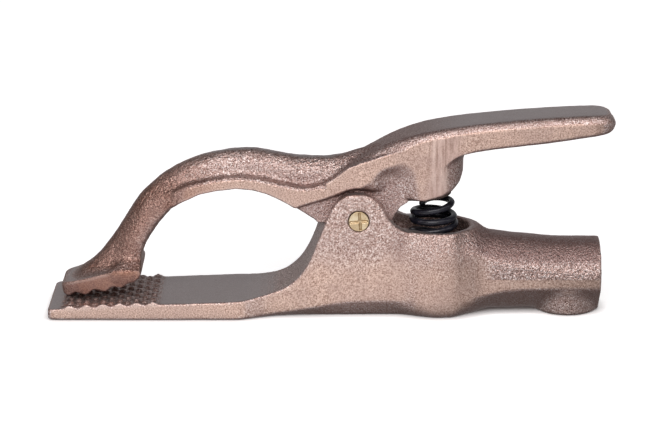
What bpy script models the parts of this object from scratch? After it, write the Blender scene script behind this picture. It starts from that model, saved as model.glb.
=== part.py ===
"""Welding ground clamp: two copper-bronze castings on one brass pin, a conical return spring
between insulating seats, and a ball-point set screw under the cable barrel.

Lengths are millimetres until scene_point() turns them into metres. +X runs from the jaw nose
(front) to the cable barrel (rear), +Y is across the clamp and +Z is up. The origin is at the
bottom centre of the closed clamp.
"""

import math

import bmesh
import bpy
import numpy as np
from mathutils import Matrix, Vector

for old in list(bpy.data.objects):
    bpy.data.objects.remove(old)

MM = 0.001

# ---- driving dimensions; X values are drawing stations, moved by X_SHIFT in scene_point() ----
NOSE_X = -100.1            # front end of the jaw plate
HANDLE_END_X = 104.1       # rear end of the handle
X_SHIFT = -(NOSE_X + HANDLE_END_X) / 2

JAW_HALF_WIDTH = 17.0
BODY_HALF_WIDTH = 12.75    # the flat sides of ears, body and barrel
HELPER_HALF_WIDTH = 14.0   # side-view cutters of the lever reach past its sides

PIVOT_X, PIVOT_Z = 12.1, 35.8
PIN_RADIUS = 3.57
PIN_HALF_LENGTH = 12.6
EAR_HOLE_RADIUS = 3.72
HUB_HOLE_RADIUS = 3.77
HUB_RADIUS = 10.0
HUB_HALF_WIDTH = 8.0
SLOT_RADIUS = HUB_RADIUS + 0.4
SLOT_HALF_WIDTH = HUB_HALF_WIDTH + 0.3

BARREL_AXIS_Z = 13.35
BARREL_END_X = 99.7
CABLE_BORE_RADIUS = 9.2
CABLE_BORE_START_X = 60.5

POCKET_X = 41.0
POCKET_RADIUS = 11.3
POCKET_FLOOR_Z = 9.0
POCKET_FLOOR_RADIUS = 10.8
POCKET_RIM_Z = 31.3
POCKET_WALL_RADIUS = 15.9

SCREW_X = 88.0
SCREW_BOSS_RADIUS = 11.7
SCREW_HOLE_RADIUS = 6.6
SCREW_RADIUS = 6.3
SCREW_BOTTOM_Z = 0.8
SCREW_TOP_Z = 7.4
HEX_ACROSS_FLATS = 6.35
HEX_DEPTH = 3.2
BALL_RADIUS = 2.4
BALL_Z = 7.7
BALL_CLEARANCE = 0.25

SEAT_TILT = math.radians(12.0)       # the spring boss's underside rises to the rear
SEAT_AXIS = (-math.sin(SEAT_TILT), 0, math.cos(SEAT_TILT))
SEAT_POINT = (40.3, 0, 42.0)         # centre of the upper seat's lower face


# ---- points and lines ----

def scene_point(x, y, z):
    """Drawing millimetres to scene metres."""
    return Vector(((x + X_SHIFT) * MM, y * MM, z * MM))


def value_at(line, x):
    """Smooth value on a line of (x, value) points, with no overshoot between them."""
    xs, values = zip(*line)
    if x <= xs[0]:
        return values[0]
    if x >= xs[-1]:
        return values[-1]
    i = max(k for k in range(len(xs) - 1) if xs[k] <= x)
    slopes = [(values[k + 1] - values[k]) / (xs[k + 1] - xs[k]) for k in range(len(xs) - 1)]

    def tangent(k):
        if k == 0:
            return slopes[0]
        if k == len(xs) - 1:
            return slopes[-1]
        before, after = slopes[k - 1], slopes[k]
        return 0.0 if before * after <= 0 else 2 * before * after / (before + after)

    gap = xs[i + 1] - xs[i]
    t = (x - xs[i]) / gap
    return ((2 * t**3 - 3 * t**2 + 1) * values[i]
            + (t**3 - 2 * t**2 + t) * gap * tangent(i)
            + (-2 * t**3 + 3 * t**2) * values[i + 1]
            + (t**3 - t**2) * gap * tangent(i + 1))


def straight_value_at(line, x):
    """Value on a line of (x, value) points joined by straight pieces."""
    return float(np.interp(x, *zip(*line)))


def arc(centre, radius, degrees):
    """Points on a circle in the plane of its two centre coordinates."""
    return [(centre[0] + radius * math.cos(math.radians(angle)),
             centre[1] + radius * math.sin(math.radians(angle))) for angle in degrees]


# ---- meshes ----

def mesh_from(bm):
    bmesh.ops.recalc_face_normals(bm, faces=bm.faces)
    mesh = bpy.data.meshes.new("mesh")
    bm.to_mesh(mesh)
    bm.free()
    return mesh


def add_skin(bm, sections):
    """Adds a closed skin through loops of equal length."""
    rings = [[bm.verts.new(scene_point(*point)) for point in loop] for loop in sections]
    count = len(rings[0])
    for ring, following in zip(rings, rings[1:]):
        for i in range(count):
            j = (i + 1) % count
            bm.faces.new((ring[i], ring[j], following[j], following[i]))
    bm.faces.new(rings[0])
    bm.faces.new(rings[-1])


def loft(sections):
    bm = bmesh.new()
    add_skin(bm, sections)
    return mesh_from(bm)


def extruded(corners, offset):
    """Flat outline moved along an offset to make a prism."""
    bm = bmesh.new()
    face = bm.faces.new([bm.verts.new(scene_point(*corner)) for corner in corners])
    made = bmesh.ops.extrude_face_region(bm, geom=[face])
    moved = [item for item in made["geom"] if isinstance(item, bmesh.types.BMVert)]
    bmesh.ops.translate(bm, vec=Vector([length * MM for length in offset]), verts=moved)
    return mesh_from(bm)


def prism_xz(outline, y_start, y_end):
    """Side-view outline extruded across the clamp."""
    return extruded([(x, y_start, z) for x, z in outline], (0, y_end - y_start, 0))


def prism_xy(outline, z_start, z_end):
    """Plan outline extruded upwards."""
    return extruded([(x, y, z_start) for x, y in outline], (0, 0, z_end - z_start))


def turned(profile, segments, origin, axis):
    """Solid of revolution from (distance along the axis, radius) points.

    A profile that starts at radius 0 must end there; any other is closed into a ring.
    """
    bm = bmesh.new()
    along = Vector(axis).normalized()
    side = Vector((0, 1, 0)) if abs(along.y) < 0.9 else Vector((1, 0, 0))
    across = along.cross(side).normalized()
    third = along.cross(across).normalized()
    base = scene_point(*origin)
    angles = [2 * math.pi * k / segments for k in range(segments)]
    rings = []
    for distance, radius in profile:
        if radius <= 1e-9:
            rings.append([bm.verts.new(base + along * distance * MM)])
            continue
        rings.append([
            bm.verts.new(base + (along * distance
                                 + (across * math.cos(a) + third * math.sin(a)) * radius) * MM)
            for a in angles])
    if len(rings[0]) > 1:
        rings.append(rings[0])
    for ring, following in zip(rings, rings[1:]):
        for i in range(segments):
            j = (i + 1) % segments
            if len(ring) == 1:
                bm.faces.new((ring[0], following[j], following[i]))
            elif len(following) == 1:
                bm.faces.new((ring[i], ring[j], following[0]))
            else:
                bm.faces.new((ring[i], ring[j], following[j], following[i]))
    return mesh_from(bm)


def cylinder(radius, length, segments, origin, axis):
    profile = [(0, 0), (0, radius), (length, radius), (length, 0)]
    return turned(profile, segments, origin, axis)


def sphere(radius, segments, origin):
    bands = 10
    profile = [(-radius * math.cos(math.pi * k / bands), radius * math.sin(math.pi * k / bands))
               for k in range(bands + 1)]
    return turned(profile, segments, origin, (0, 0, 1))


# ---- objects ----

def add_object(name, mesh, surface=None):
    mesh.name = name
    obj = bpy.data.objects.new(name, mesh)
    bpy.context.scene.collection.objects.link(obj)
    if surface:
        obj.data.materials.append(surface)
    return obj


def helper(name, mesh):
    obj = add_object(name, mesh)
    obj.hide_render = True
    obj.display_type = "WIRE"
    return obj


def boolean(target, tool, operation):
    modifier = target.modifiers.new(operation.lower() + "_" + tool.name, "BOOLEAN")
    modifier.operation = operation
    modifier.solver = "EXACT"
    modifier.object = tool


def settle(obj):
    """Applies the boolean modifiers and removes the helpers they used."""
    tools = [modifier.object for modifier in obj.modifiers]
    graph = bpy.context.evaluated_depsgraph_get()
    done = bpy.data.meshes.new_from_object(obj.evaluated_get(graph))
    obj.modifiers.clear()
    obj.data = done
    for tool in tools:
        bpy.data.objects.remove(tool)


def move_origin(obj, x, y, z):
    """Puts the object's origin at a drawing point without moving its shape."""
    point = scene_point(x, y, z)
    obj.data.transform(Matrix.Translation(-point))
    obj.location = point


def smooth(obj, angle=35):
    obj.data.shade_smooth()
    obj.data.set_sharp_from_angle(angle=math.radians(angle))


def material(name, colour, roughness, metallic):
    made = bpy.data.materials.new(name)
    made.use_nodes = True
    shader = made.node_tree.nodes["Principled BSDF"]
    shader.inputs["Base Color"].default_value = (*colour, 1)
    shader.inputs["Roughness"].default_value = roughness
    shader.inputs["Metallic"].default_value = metallic
    return made


# ---- casting cross-sections ----

def mirrored_loop(x, half):
    """Closed loop at x from the (y, z) points of its +Y half, bottom centre to top centre."""
    return [(x, y, z) for y, z in half] + [(x, -y, z) for y, z in reversed(half[1:-1])]


def casting_section(x, half_width, bottom_half, bottom, parting, top, edge):
    """Flat sides between the parting line and the top edge, which is rounded by `edge`."""
    turn_in = half_width - bottom_half
    draft = parting - bottom
    return mirrored_loop(x, [
        (0, bottom),
        (bottom_half * 0.6, bottom),
        (bottom_half, bottom + 0.12 * draft),
        (bottom_half + 0.72 * turn_in, bottom + 0.55 * draft),
        (half_width, parting),
        (half_width, parting + 0.5 * (top - edge - parting)),
        (half_width, top - edge),
        (half_width - 0.3 * edge, top - 0.3 * edge),
        (half_width - edge, top),
        (0.5 * (half_width - edge), top),
        (0, top)])


def barrel_section(x, radius, centre_z):
    """As many points as casting_section(), on a circle with flat sides."""
    side = arc((0, centre_z), radius, (-65, -50, -30, -8.7, 0, 8.7, 30, 50, 70))
    half = [(0, centre_z - radius)]
    half += [(min(y, BODY_HALF_WIDTH), z) for y, z in side]
    half += [(0, centre_z + radius)]
    return mirrored_loop(x, half)


# ---- lower jaw casting ----

# (x, z) of the top along the centre plane: jaw face, crotch, ear dome, pocket rim, barrel
LOWER_TOP = [
    (NOSE_X, 3.9), (-96, 4.3), (-70, 5.6), (-45, 6.5), (-31, 7.0), (-25.6, 7.7), (-19.2, 9.1),
    (-14.4, 10.9), (-9.6, 14.8), (-6.4, 19.4), (-4.5, 23.4), (-2.6, 28.4), (-0.3, 33.9),
    (1.0, 37.2), (2.6, 40.4), (5.2, 43.6), (8.4, 45.3), (12.1, 45.7), (15.8, 44.9),
    (18.7, 43.1), (20.9, 40.2), (22.3, 37.6), (24.3, 34.8), (27.0, 32.7), (30.0, 31.5),
    (36, 31.2), (46, 31.1), (52, 30.9), (55, 30.3), (59, 29.0), (63.5, 28.4), (68, 27.8),
    (74.4, 27.2), (80, 26.6), (85, 26.3), (90, 26.25), (100.4, 26.25)]
# (x, z) of the parting line, where the flat side ends and the underside turns in
LOWER_PARTING = [
    (NOSE_X, 0.6), (-31, 0.7), (-22, 1.0), (-11, 2.3), (-3, 3.7), (5.4, 5.3), (14, 6.0),
    (24, 6.2), (44, 6.6), (55, 9.5), (62, 11.2), (100.4, 11.4)]
# (x, half width) at the flat sides
LOWER_HALF_WIDTH = [
    (NOSE_X, 16.0), (-98.5, 16.8), (-96, JAW_HALF_WIDTH), (-33, JAW_HALF_WIDTH), (-30, 16.6),
    (-26, 15.3), (-21, 13.7), (-17, 12.9), (-13, BODY_HALF_WIDTH), (100.4, BODY_HALF_WIDTH)]
# (x, half width) of the underside
LOWER_BOTTOM_HALF = [
    (NOSE_X, 15.7), (-96, 16.7), (-33, 16.7), (-28, 15.2), (-20, 12.0), (-12, 10.4),
    (30, 10.0), (50, 10.0), (62, 6.0), (100.4, 4.5)]
# (x, z) of the underside
LOWER_BOTTOM = [
    (NOSE_X, 0.5), (-99.0, 0.0), (2, 0.0), (14, 0.12), (46, 0.2), (56, 0.2), (66, 0.3),
    (74, 0.45), (100.4, 0.45)]
# x of the cross-sections
LOWER_STATIONS = [
    NOSE_X, -99.0, -97, -90, -70, -50, -33, -29, -25.5, -22, -18.5, -15.5, -12.5, -10.2, -8.3,
    -6.6, -5.2, -3.8, -2.2, -0.8, 0.6, 2.0, 3.6, 5.6, 8.4, 12.1, 15.6, 18.2, 20.2, 21.8, 23.4,
    25.4, 27.6, 30.5, 36, 41, 46, 50, 54, 58, 62, 66, 71, 78, 85, 92, BARREL_END_X]
LOWER_EDGE = 0.5
ROUNDING_START_X = 46       # the body turns into the round barrel from here
ROUNDING_LENGTH = 18

TOOTH_PITCH = 6.0           # along the jaw
TOOTH_PITCH_Y = 5.667       # across it: the outer teeth are cut in half by the plate's sides
TOOTH_ROWS = 6
TOOTH_COLUMNS = 7
TOOTH_START_X = -92.0
TOOTH_HEIGHT = 1.0
TOOTH_ROOT_DEPTH = 0.9
TOOTH_ROOT = (2.7, 2.5)     # half diagonals along x and y, at the root and at the flat tip
TOOTH_TIP = (1.15, 1.05)
TOOTH_LIMIT_Y = JAW_HALF_WIDTH - 0.35

# (z, radius) of the wall round the spring pocket
POCKET_WALL_PROFILE = [
    (0.0, 0), (0.0, 12.4), (1.2, 14.2), (3.6, 15.4), (7.0, POCKET_WALL_RADIUS),
    (14.0, POCKET_WALL_RADIUS - 0.1), (20.0, 15.2), (25.5, 14.2), (29.0, 13.2), (30.8, 12.4),
    (POCKET_RIM_Z + 0.05, 11.9), (POCKET_RIM_Z + 0.05, 0)]
# (z, radius) of the round boss under the barrel
SCREW_BOSS_PROFILE = [
    (0.0, 0), (0.0, SCREW_BOSS_RADIUS - 0.8), (0.25, SCREW_BOSS_RADIUS - 0.3),
    (0.8, SCREW_BOSS_RADIUS), (8.6, SCREW_BOSS_RADIUS), (8.6, 0)]


def lower_section(x):
    top = value_at(LOWER_TOP, x)
    bottom = value_at(LOWER_BOTTOM, x)
    flat = casting_section(x, value_at(LOWER_HALF_WIDTH, x), value_at(LOWER_BOTTOM_HALF, x),
                           bottom, value_at(LOWER_PARTING, x), top, LOWER_EDGE)
    radius = (top - bottom) / 2
    barrel = barrel_section(x, radius, bottom + radius)
    share = min(1.0, max(0.0, (x - ROUNDING_START_X) / ROUNDING_LENGTH))
    return [tuple(a * (1 - share) + b * share for a, b in zip(flat_point, barrel_point))
            for flat_point, barrel_point in zip(flat, barrel)]


def jaw_teeth_mesh():
    """Flat-topped diamond teeth on a grid, with one more in the middle of each grid cell."""
    def tooth_loop(x, y, half_diagonals, z):
        half_x, half_y = half_diagonals
        return [(x + step_x, max(-TOOTH_LIMIT_Y, min(TOOTH_LIMIT_Y, y + step_y)), z)
                for step_x, step_y in ((-half_x, 0), (0, -half_y), (half_x, 0), (0, half_y))]

    bm = bmesh.new()
    for inset in (0, 1):
        for i in range(TOOTH_ROWS - inset):
            for j in range(TOOTH_COLUMNS - inset):
                x = TOOTH_START_X + i * TOOTH_PITCH + inset * TOOTH_PITCH / 2
                y = (j - (TOOTH_COLUMNS - 1) / 2) * TOOTH_PITCH_Y + inset * TOOTH_PITCH_Y / 2
                face_z = value_at(LOWER_TOP, x)
                add_skin(bm, [tooth_loop(x, y, TOOTH_ROOT, face_z - TOOTH_ROOT_DEPTH),
                              tooth_loop(x, y, TOOTH_TIP, face_z + TOOTH_HEIGHT)])
    return mesh_from(bm)


def ear_slot_mesh():
    """Slot between the ears: its front wall follows the hub, its rear meets the pocket."""
    rear_x, top_z = 34, 60
    outline = [(-8, 33.4), (-1.0, 33.4)]
    outline += arc((PIVOT_X, PIVOT_Z), SLOT_RADIUS, range(196, 271, 8))
    outline += [(rear_x, PIVOT_Z - SLOT_RADIUS), (rear_x, top_z), (-8, top_z)]
    return prism_xz(outline, -SLOT_HALF_WIDTH, SLOT_HALF_WIDTH)


def spring_pocket_mesh():
    depth = POCKET_RIM_Z - POCKET_FLOOR_Z
    profile = [(0, 0), (0, POCKET_FLOOR_RADIUS), (depth - 1.0, POCKET_RADIUS),
               (depth + 20, POCKET_RADIUS + 0.1), (depth + 20, 0)]
    return turned(profile, 44, (POCKET_X, 0, POCKET_FLOOR_Z), (0, 0, 1))


def cable_bore_mesh():
    """Blind bore with a conical front end and a flared mouth."""
    length = BARREL_END_X - CABLE_BORE_START_X
    mouth_radius = CABLE_BORE_RADIUS + 1.8
    profile = [(0, 0), (3.5, CABLE_BORE_RADIUS - 1.2), (4.6, CABLE_BORE_RADIUS),
               (length - 0.8, CABLE_BORE_RADIUS), (length + 1.0, mouth_radius),
               (length + 6, mouth_radius), (length + 6, 0)]
    return turned(profile, 36, (CABLE_BORE_START_X, 0, BARREL_AXIS_Z), (1, 0, 0))


def pivot_hole_mesh(radius):
    return cylinder(radius, 60, 36, (PIVOT_X, -30, PIVOT_Z), (0, 1, 0))


def build_lower_jaw(surface):
    lower = add_object("lower_jaw_casting", loft([lower_section(x) for x in LOWER_STATIONS]),
                       surface)
    wall = turned(POCKET_WALL_PROFILE, 44, (POCKET_X, 0, 0.0), (0, 0, 1))
    boolean(lower, helper("pocket_wall", wall), "UNION")
    screw_boss = turned(SCREW_BOSS_PROFILE, 32, (SCREW_X, 0, 0.0), (0, 0, 1))
    boolean(lower, helper("screw_boss", screw_boss), "UNION")
    settle(lower)

    boolean(lower, helper("jaw_teeth", jaw_teeth_mesh()), "UNION")
    screw_hole = cylinder(SCREW_HOLE_RADIUS, 16, 32, (SCREW_X, 0, -4.0), (0, 0, 1))
    for name, mesh in (("ear_slot", ear_slot_mesh()),
                       ("spring_pocket", spring_pocket_mesh()),
                       ("ear_hole", pivot_hole_mesh(EAR_HOLE_RADIUS)),
                       ("cable_bore", cable_bore_mesh()),
                       ("screw_hole", screw_hole)):
        boolean(lower, helper(name, mesh), "DIFFERENCE")
    settle(lower)
    smooth(lower)


# ---- upper jaw lever ----

# (x, z) of the slab's upper edge through foot, arm strip and handle
LEVER_TOP = [
    (-95.8, 9.5), (-95.3, 10.4), (-94.5, 10.9), (-90.1, 12.4), (-84.8, 14.2), (-79.7, 15.8),
    (-74.9, 17.0), (-72.4, 18.6), (-69.8, 22.4), (-67.6, 27.4), (-65.2, 31.6), (-62.0, 37.0),
    (-56.5, 43.4), (-50.8, 47.6), (-44.9, 49.8), (-36, 51.2), (-30, 51.5), (-22.6, 50.6),
    (-14, 48.6), (-7.5, 47.6), (-3, 48.2), (1.8, 50.3), (9.0, 55.6), (13.6, 57.9),
    (18.0, 60.1), (22.4, 62.3), (27, 64.3), (35.5, 67.1), (44, 69.1), (53, 70.6), (66, 71.9),
    (75, 72.6), (86, 73.3), (98, 73.7), (101.6, 73.4), (103.4, 72.4), (HANDLE_END_X, 70.9)]
# (x, z) of the teeth under the foot, joined by straight pieces
FOOT_TEETH = [
    (-95.8, 8.0), (-94.8, 6.9), (-92.9, 6.6), (-90.2, 8.1), (-86.5, 7.2), (-83.3, 9.5),
    (-79.7, 8.8), (-76.4, 10.8), (-73.6, 10.4), (-70.8, 12.4), (-69.3, 12.6), (-67.4, 13.9),
    (-66.4, 15.6)]
# (x, z) of the arm's underside
ARM_BOTTOM = [
    (-66.4, 15.6), (-66.3, 19.0), (-65.9, 25.2), (-64.3, 28.6), (-62.1, 31.9), (-60, 34.6),
    (-57.8, 36.8), (-55.6, 38.9), (-51, 42.0), (-44.9, 44.9), (-38.4, 46.3), (-32, 47.0),
    (-25.5, 46.4), (-21.2, 45.2), (-16.9, 43.2), (-12.6, 40.8), (-8.3, 38.1), (-4.0, 35.3),
    (-2.8, 34.2)]
# (x, z) of the handle's underside
HANDLE_BOTTOM = [
    (22, 51.4), (40, 57.0), (49.9, 60.0), (56.3, 61.1), (67.1, 62.5), (80, 64.0),
    (93, 65.9), (101.0, 67.2), (103.2, 68.1), (HANDLE_END_X, 69.6)]
# (x, half width)
LEVER_HALF_WIDTH = [
    (-95.8, 6.8), (-95.3, 7.8), (-94.5, 8.5), (-93, 9.2), (-90, 9.9), (-84.8, 10.7),
    (-79.7, 11.2), (-74.5, 11.5), (-66.4, 11.5), (-62, 10.6), (-54, 10.2), (-44, 10.0),
    (-8, 10.0), (2, 10.3), (18, 10.9), (28, 11.4), (49, 11.4), (58, 11.1), (80, 10.8),
    (95.6, 10.4), (99.6, 9.6), (102.2, 8.0), (HANDLE_END_X, 4.6)]
# x of the cross-sections
LEVER_STATIONS = [x for x, z in FOOT_TEETH] + [
    -66.3, -65.9, -64.8, -63.2, -61.4, -59.3, -57, -54, -50, -45, -39, -32, -25.5, -20.5, -16,
    -11.5, -7.5, -2.8, 2, 6, 10, 14, 18, 22, 27, 33, 40, 47, 54, 62, 72, 84, 93, 98.2, 100.8,
    102.8, HANDLE_END_X]

# (x, z) of the crest of the rounded rib on the arm
RIB_CREST = [
    (-88, 14.6), (-84.5, 18.0), (-80.2, 23.1), (-75.8, 29.0), (-71.5, 35.8), (-67.1, 42.4),
    (-62.8, 46.8), (-58.4, 50.4), (-51.9, 54.3), (-47.5, 56.3), (-41, 58.3), (-36.6, 59.1),
    (-32.3, 59.7), (-25.8, 59.9), (-21.4, 59.2), (-17, 58.4), (-12.7, 57.6), (-8.3, 57.1),
    (0.4, 56.8), (4.7, 57.2), (9.1, 57.9), (14, 58.6)]
RIB_RADIUS = 6.0
RIB_STEPS = 30
RIB_SEGMENTS = 14
RIB_TAPER_STEPS = 4.0       # the rib thins over this many steps at each end

BOSS_FRONT_X = 22.0
BOSS_HALF_WIDTH = 11.4
BOSS_CORNER_X = 40.5        # the rear corners start here
BOSS_CORNER_LENGTH = 9.4
BOSS_CORNER_WIDTH = 9.0
# (x, z) outline of the spring boss from the side; its underside rises to the rear
BOSS_SIDE = [
    (BOSS_FRONT_X, 43.0), (25.0, 41.4), (28.3, 41.2), (33, 42.0), (37.5, 43.1), (42, 44.5),
    (45.7, 46.3), (48.5, 49.1), (49.9, 52.3), (50.3, 56), (50.3, 59.8), (40, 59.8), (34, 66),
    (BOSS_FRONT_X, 60)]

# (x, z) outline of the relief beside the hub, at the hub's side face
RELIEF_LINE = [
    (-14.5, 33), (-14.0, 37.4), (-9.0, 40.2), (-5.9, 41.2), (0.6, 43.1), (4.4, 44.6),
    (7.8, 46.1), (10.9, 46.9), (13.8, 47.2), (16.0, 48.6), (17.2, 51.6), (19.8, 54.2),
    (23.6, 55.0), (27.2, 53.4), (29.2, 50.0), (29.8, 46.0), (29.0, 40), (28.0, 37), (28.0, 20),
    (-14.5, 20)]
RELIEF_CENTRE = (10.0, 36.0)    # the outline spreads away from this (x, z) point
RELIEF_SPREAD = 1.6


def lever_bottom(x):
    if x <= FOOT_TEETH[-1][0]:
        return straight_value_at(FOOT_TEETH, x)
    if x <= ARM_BOTTOM[-1][0]:
        return value_at(ARM_BOTTOM, x)
    if x < HANDLE_BOTTOM[0][0]:
        return straight_value_at((ARM_BOTTOM[-1], HANDLE_BOTTOM[0]), x)
    return value_at(HANDLE_BOTTOM, x)


def lever_section(x):
    top, bottom = value_at(LEVER_TOP, x), lever_bottom(x)
    half_width = value_at(LEVER_HALF_WIDTH, x)
    depth = top - bottom
    # the top edge gets rounder along the handle, the bottom edge past x = 50
    top_edge = min(2.6, 0.9 + max(0, x - 4) * 0.12, 0.35 * depth, 0.5 * half_width)
    bottom_edge = min(0.8 if x < 50 else 1.6, 0.25 * depth)
    return casting_section(x, half_width, half_width - bottom_edge * 0.8, bottom,
                           bottom + bottom_edge, top, top_edge)


def rib_sections():
    """Circles along the arm whose tops follow RIB_CREST."""
    start_x, end_x = RIB_CREST[0][0], RIB_CREST[-1][0]
    path = []
    for k in range(RIB_STEPS + 1):
        x = start_x + (end_x - start_x) * k / RIB_STEPS
        path.append((x, value_at(RIB_CREST, x)))
    sections = []
    for k, (x, z) in enumerate(path):
        before, after = path[max(k - 1, 0)], path[min(k + 1, RIB_STEPS)]
        tangent = Vector((after[0] - before[0], 0, after[1] - before[1])).normalized()
        normal = Vector((-tangent.z, 0, tangent.x))
        front_taper = 0.55 + 0.45 * min(1.0, k / RIB_TAPER_STEPS)
        rear_taper = 0.8 + 0.2 * min(1.0, (RIB_STEPS - k) / RIB_TAPER_STEPS)
        radius = RIB_RADIUS * front_taper * rear_taper
        centre = Vector((x, 0, z)) - normal * radius
        angles = [2 * math.pi * m / RIB_SEGMENTS for m in range(RIB_SEGMENTS)]
        sections.append([(centre.x + normal.x * radius * math.sin(angle),
                          radius * math.cos(angle),
                          centre.z + normal.z * radius * math.sin(angle)) for angle in angles])
    return sections


def build_arm_rib():
    """Round bar cut off just inside the arm's underside."""
    rib = helper("arm_rib", loft(rib_sections()))
    outline = [(-92, 10.0), (-92, 30.0), (-60, 64.0), (30, 64.0), (30, 50.0), (-2.8, 34.8)]
    outline += [(x - 0.3, z + 0.4) for x, z in reversed(ARM_BOTTOM[2:-1])]
    outline += [(-66.9, 19.0), (-66.9, 10.0)]
    arm_side = prism_xz(outline, -HELPER_HALF_WIDTH, HELPER_HALF_WIDTH)
    boolean(rib, helper("arm_side", arm_side), "INTERSECT")
    settle(rib)
    return rib


def build_spring_boss():
    """Block with rounded rear corners in plan, trimmed to its side outline."""
    corner_y = BOSS_HALF_WIDTH - BOSS_CORNER_WIDTH
    half = [(BOSS_FRONT_X, -BOSS_HALF_WIDTH), (BOSS_CORNER_X, -BOSS_HALF_WIDTH)]
    half += [(BOSS_CORNER_X + BOSS_CORNER_LENGTH * math.sin(math.radians(angle)),
              -corner_y - BOSS_CORNER_WIDTH * math.cos(math.radians(angle)))
             for angle in range(15, 91, 15)]
    plan = half + [(x, -y) for x, y in reversed(half)]
    boss = helper("spring_boss", prism_xy(plan, 36, 63.5))
    boss_side = prism_xz(BOSS_SIDE, -HELPER_HALF_WIDTH, HELPER_HALF_WIDTH)
    boolean(boss, helper("boss_side", boss_side), "INTERSECT")
    settle(boss)
    return boss


def relief_mesh(sign):
    """Cutter beside the hub that widens towards the lever's side."""
    centre_x, centre_z = RELIEF_CENTRE
    inner, outer = [], []
    for x, z in RELIEF_LINE:
        away_x, away_z = x - centre_x, z - centre_z
        distance = math.hypot(away_x, away_z)
        inner.append((x, sign * HUB_HALF_WIDTH, z))
        outer.append((x + away_x / distance * RELIEF_SPREAD, sign * HELPER_HALF_WIDTH,
                      z + away_z / distance * RELIEF_SPREAD))
    return loft([inner, outer])


def hub_mesh():
    outline = [(-2.9, 34.15), (2.1, 33.9)]
    outline += arc((PIVOT_X, PIVOT_Z), HUB_RADIUS, range(201, 331, 11))
    outline += [(23.4, 33.2), (25.2, 37.0), (27.2, 40.2), (28.8, 41.8), (29.5, 46), (26, 56),
                (8, 52), (-4.5, 43)]
    return prism_xz(outline, -HUB_HALF_WIDTH, HUB_HALF_WIDTH)


def build_lever(surface):
    lever = add_object("upper_jaw_lever", loft([lever_section(x) for x in LEVER_STATIONS]),
                       surface)
    boolean(lever, build_arm_rib(), "UNION")
    boolean(lever, build_spring_boss(), "UNION")
    settle(lever)

    # both sides are relieved so that the ears pass beside the hub
    for sign, tag in ((-1, "near"), (1, "far")):
        boolean(lever, helper("relief_" + tag, relief_mesh(sign)), "DIFFERENCE")
    boolean(lever, helper("hub", hub_mesh()), "UNION")
    settle(lever)

    boolean(lever, helper("hub_hole", pivot_hole_mesh(HUB_HOLE_RADIUS)), "DIFFERENCE")
    recess = turned([(-6, 0), (-6, 6.6), (1.8, 6.6), (1.8, 0)], 32, SEAT_POINT, SEAT_AXIS)
    boolean(lever, helper("seat_recess", recess), "DIFFERENCE")
    settle(lever)
    smooth(lever)
    move_origin(lever, PIVOT_X, 0, PIVOT_Z)


# ---- pivot pin, staked flush in the ears ----

PIN_CHAMFER = 0.25
STAKE_HALF_LENGTH = 3.1
STAKE_HALF_WIDTH = 0.5
STAKE_DEPTH = 0.4


def stake_mesh(end, degrees):
    """Cutter for one straight groove in the pin's face on side `end`, turned by degrees."""
    cos, sin = math.cos(math.radians(degrees)), math.sin(math.radians(degrees))
    outline = [(PIVOT_X + cos * length - sin * width, PIVOT_Z + sin * length + cos * width)
               for length, width in ((-STAKE_HALF_LENGTH, -STAKE_HALF_WIDTH),
                                     (STAKE_HALF_LENGTH, -STAKE_HALF_WIDTH),
                                     (STAKE_HALF_LENGTH, STAKE_HALF_WIDTH),
                                     (-STAKE_HALF_LENGTH, STAKE_HALF_WIDTH))]
    y_start, y_end = sorted((end * (PIN_HALF_LENGTH - STAKE_DEPTH), end * (PIN_HALF_LENGTH + 1)))
    return prism_xz(outline, y_start, y_end)


def build_pin(surface):
    face_radius = PIN_RADIUS - PIN_CHAMFER
    profile = [(-PIN_HALF_LENGTH, 0), (-PIN_HALF_LENGTH, face_radius),
               (-PIN_HALF_LENGTH + PIN_CHAMFER, PIN_RADIUS),
               (PIN_HALF_LENGTH - PIN_CHAMFER, PIN_RADIUS),
               (PIN_HALF_LENGTH, face_radius), (PIN_HALF_LENGTH, 0)]
    pin = add_object("pivot_pin", turned(profile, 32, (PIVOT_X, 0, PIVOT_Z), (0, 1, 0)), surface)
    for end in (-1, 1):
        for degrees, tag in ((4, "a"), (95, "b")):
            groove = helper(f"stake_{tag}_{end + 1}", stake_mesh(end, degrees))
            boolean(pin, groove, "DIFFERENCE")
    settle(pin)
    smooth(pin)
    move_origin(pin, PIVOT_X, 0, PIVOT_Z)


# ---- return spring: conical, closed ends, right-handed ----

SPRING_WIRE_RADIUS = 1.2
SPRING_TURNS = 5.0
SPRING_WIRE_SIDES = 6
SPRING_STEPS = int(SPRING_TURNS * 16)
# the wire's centre line against turns counted from the bottom end
# (turns, z)
SPRING_RISE = [
    (0.0, 12.5), (0.5, 12.6), (1.0, 15.0), (1.5, 22.0), (2.0, 28.8), (2.5, 31.8), (3.0, 33.4),
    (3.5, 34.8), (4.0, 36.1), (4.25, 37.9), (4.5, 39.6), (4.75, 39.8), (5.0, 38.9)]
# (turns, coil radius)
SPRING_RADIUS = [
    (0.0, 8.3), (1.5, 8.3), (2.5, 7.9), (3.5, 7.45), (4.0, 7.2), (4.25, 6.1), (4.5, 5.35),
    (5.0, 5.2)]
# (turns, x of the coil's middle)
SPRING_MIDDLE = [
    (0.0, 40.9), (1.5, 40.0), (2.5, 39.3), (4.0, 39.2), (4.5, 40.4), (5.0, 40.4)]


def spring_point(share):
    """Wire centre at a share from 0 (bottom) to 1 (top)."""
    turns = SPRING_TURNS * share
    angle = math.pi - 2 * math.pi * (SPRING_TURNS - turns)
    radius = value_at(SPRING_RADIUS, turns)
    return Vector((value_at(SPRING_MIDDLE, turns) + radius * math.cos(angle),
                   radius * math.sin(angle),
                   value_at(SPRING_RISE, turns)))


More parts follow.
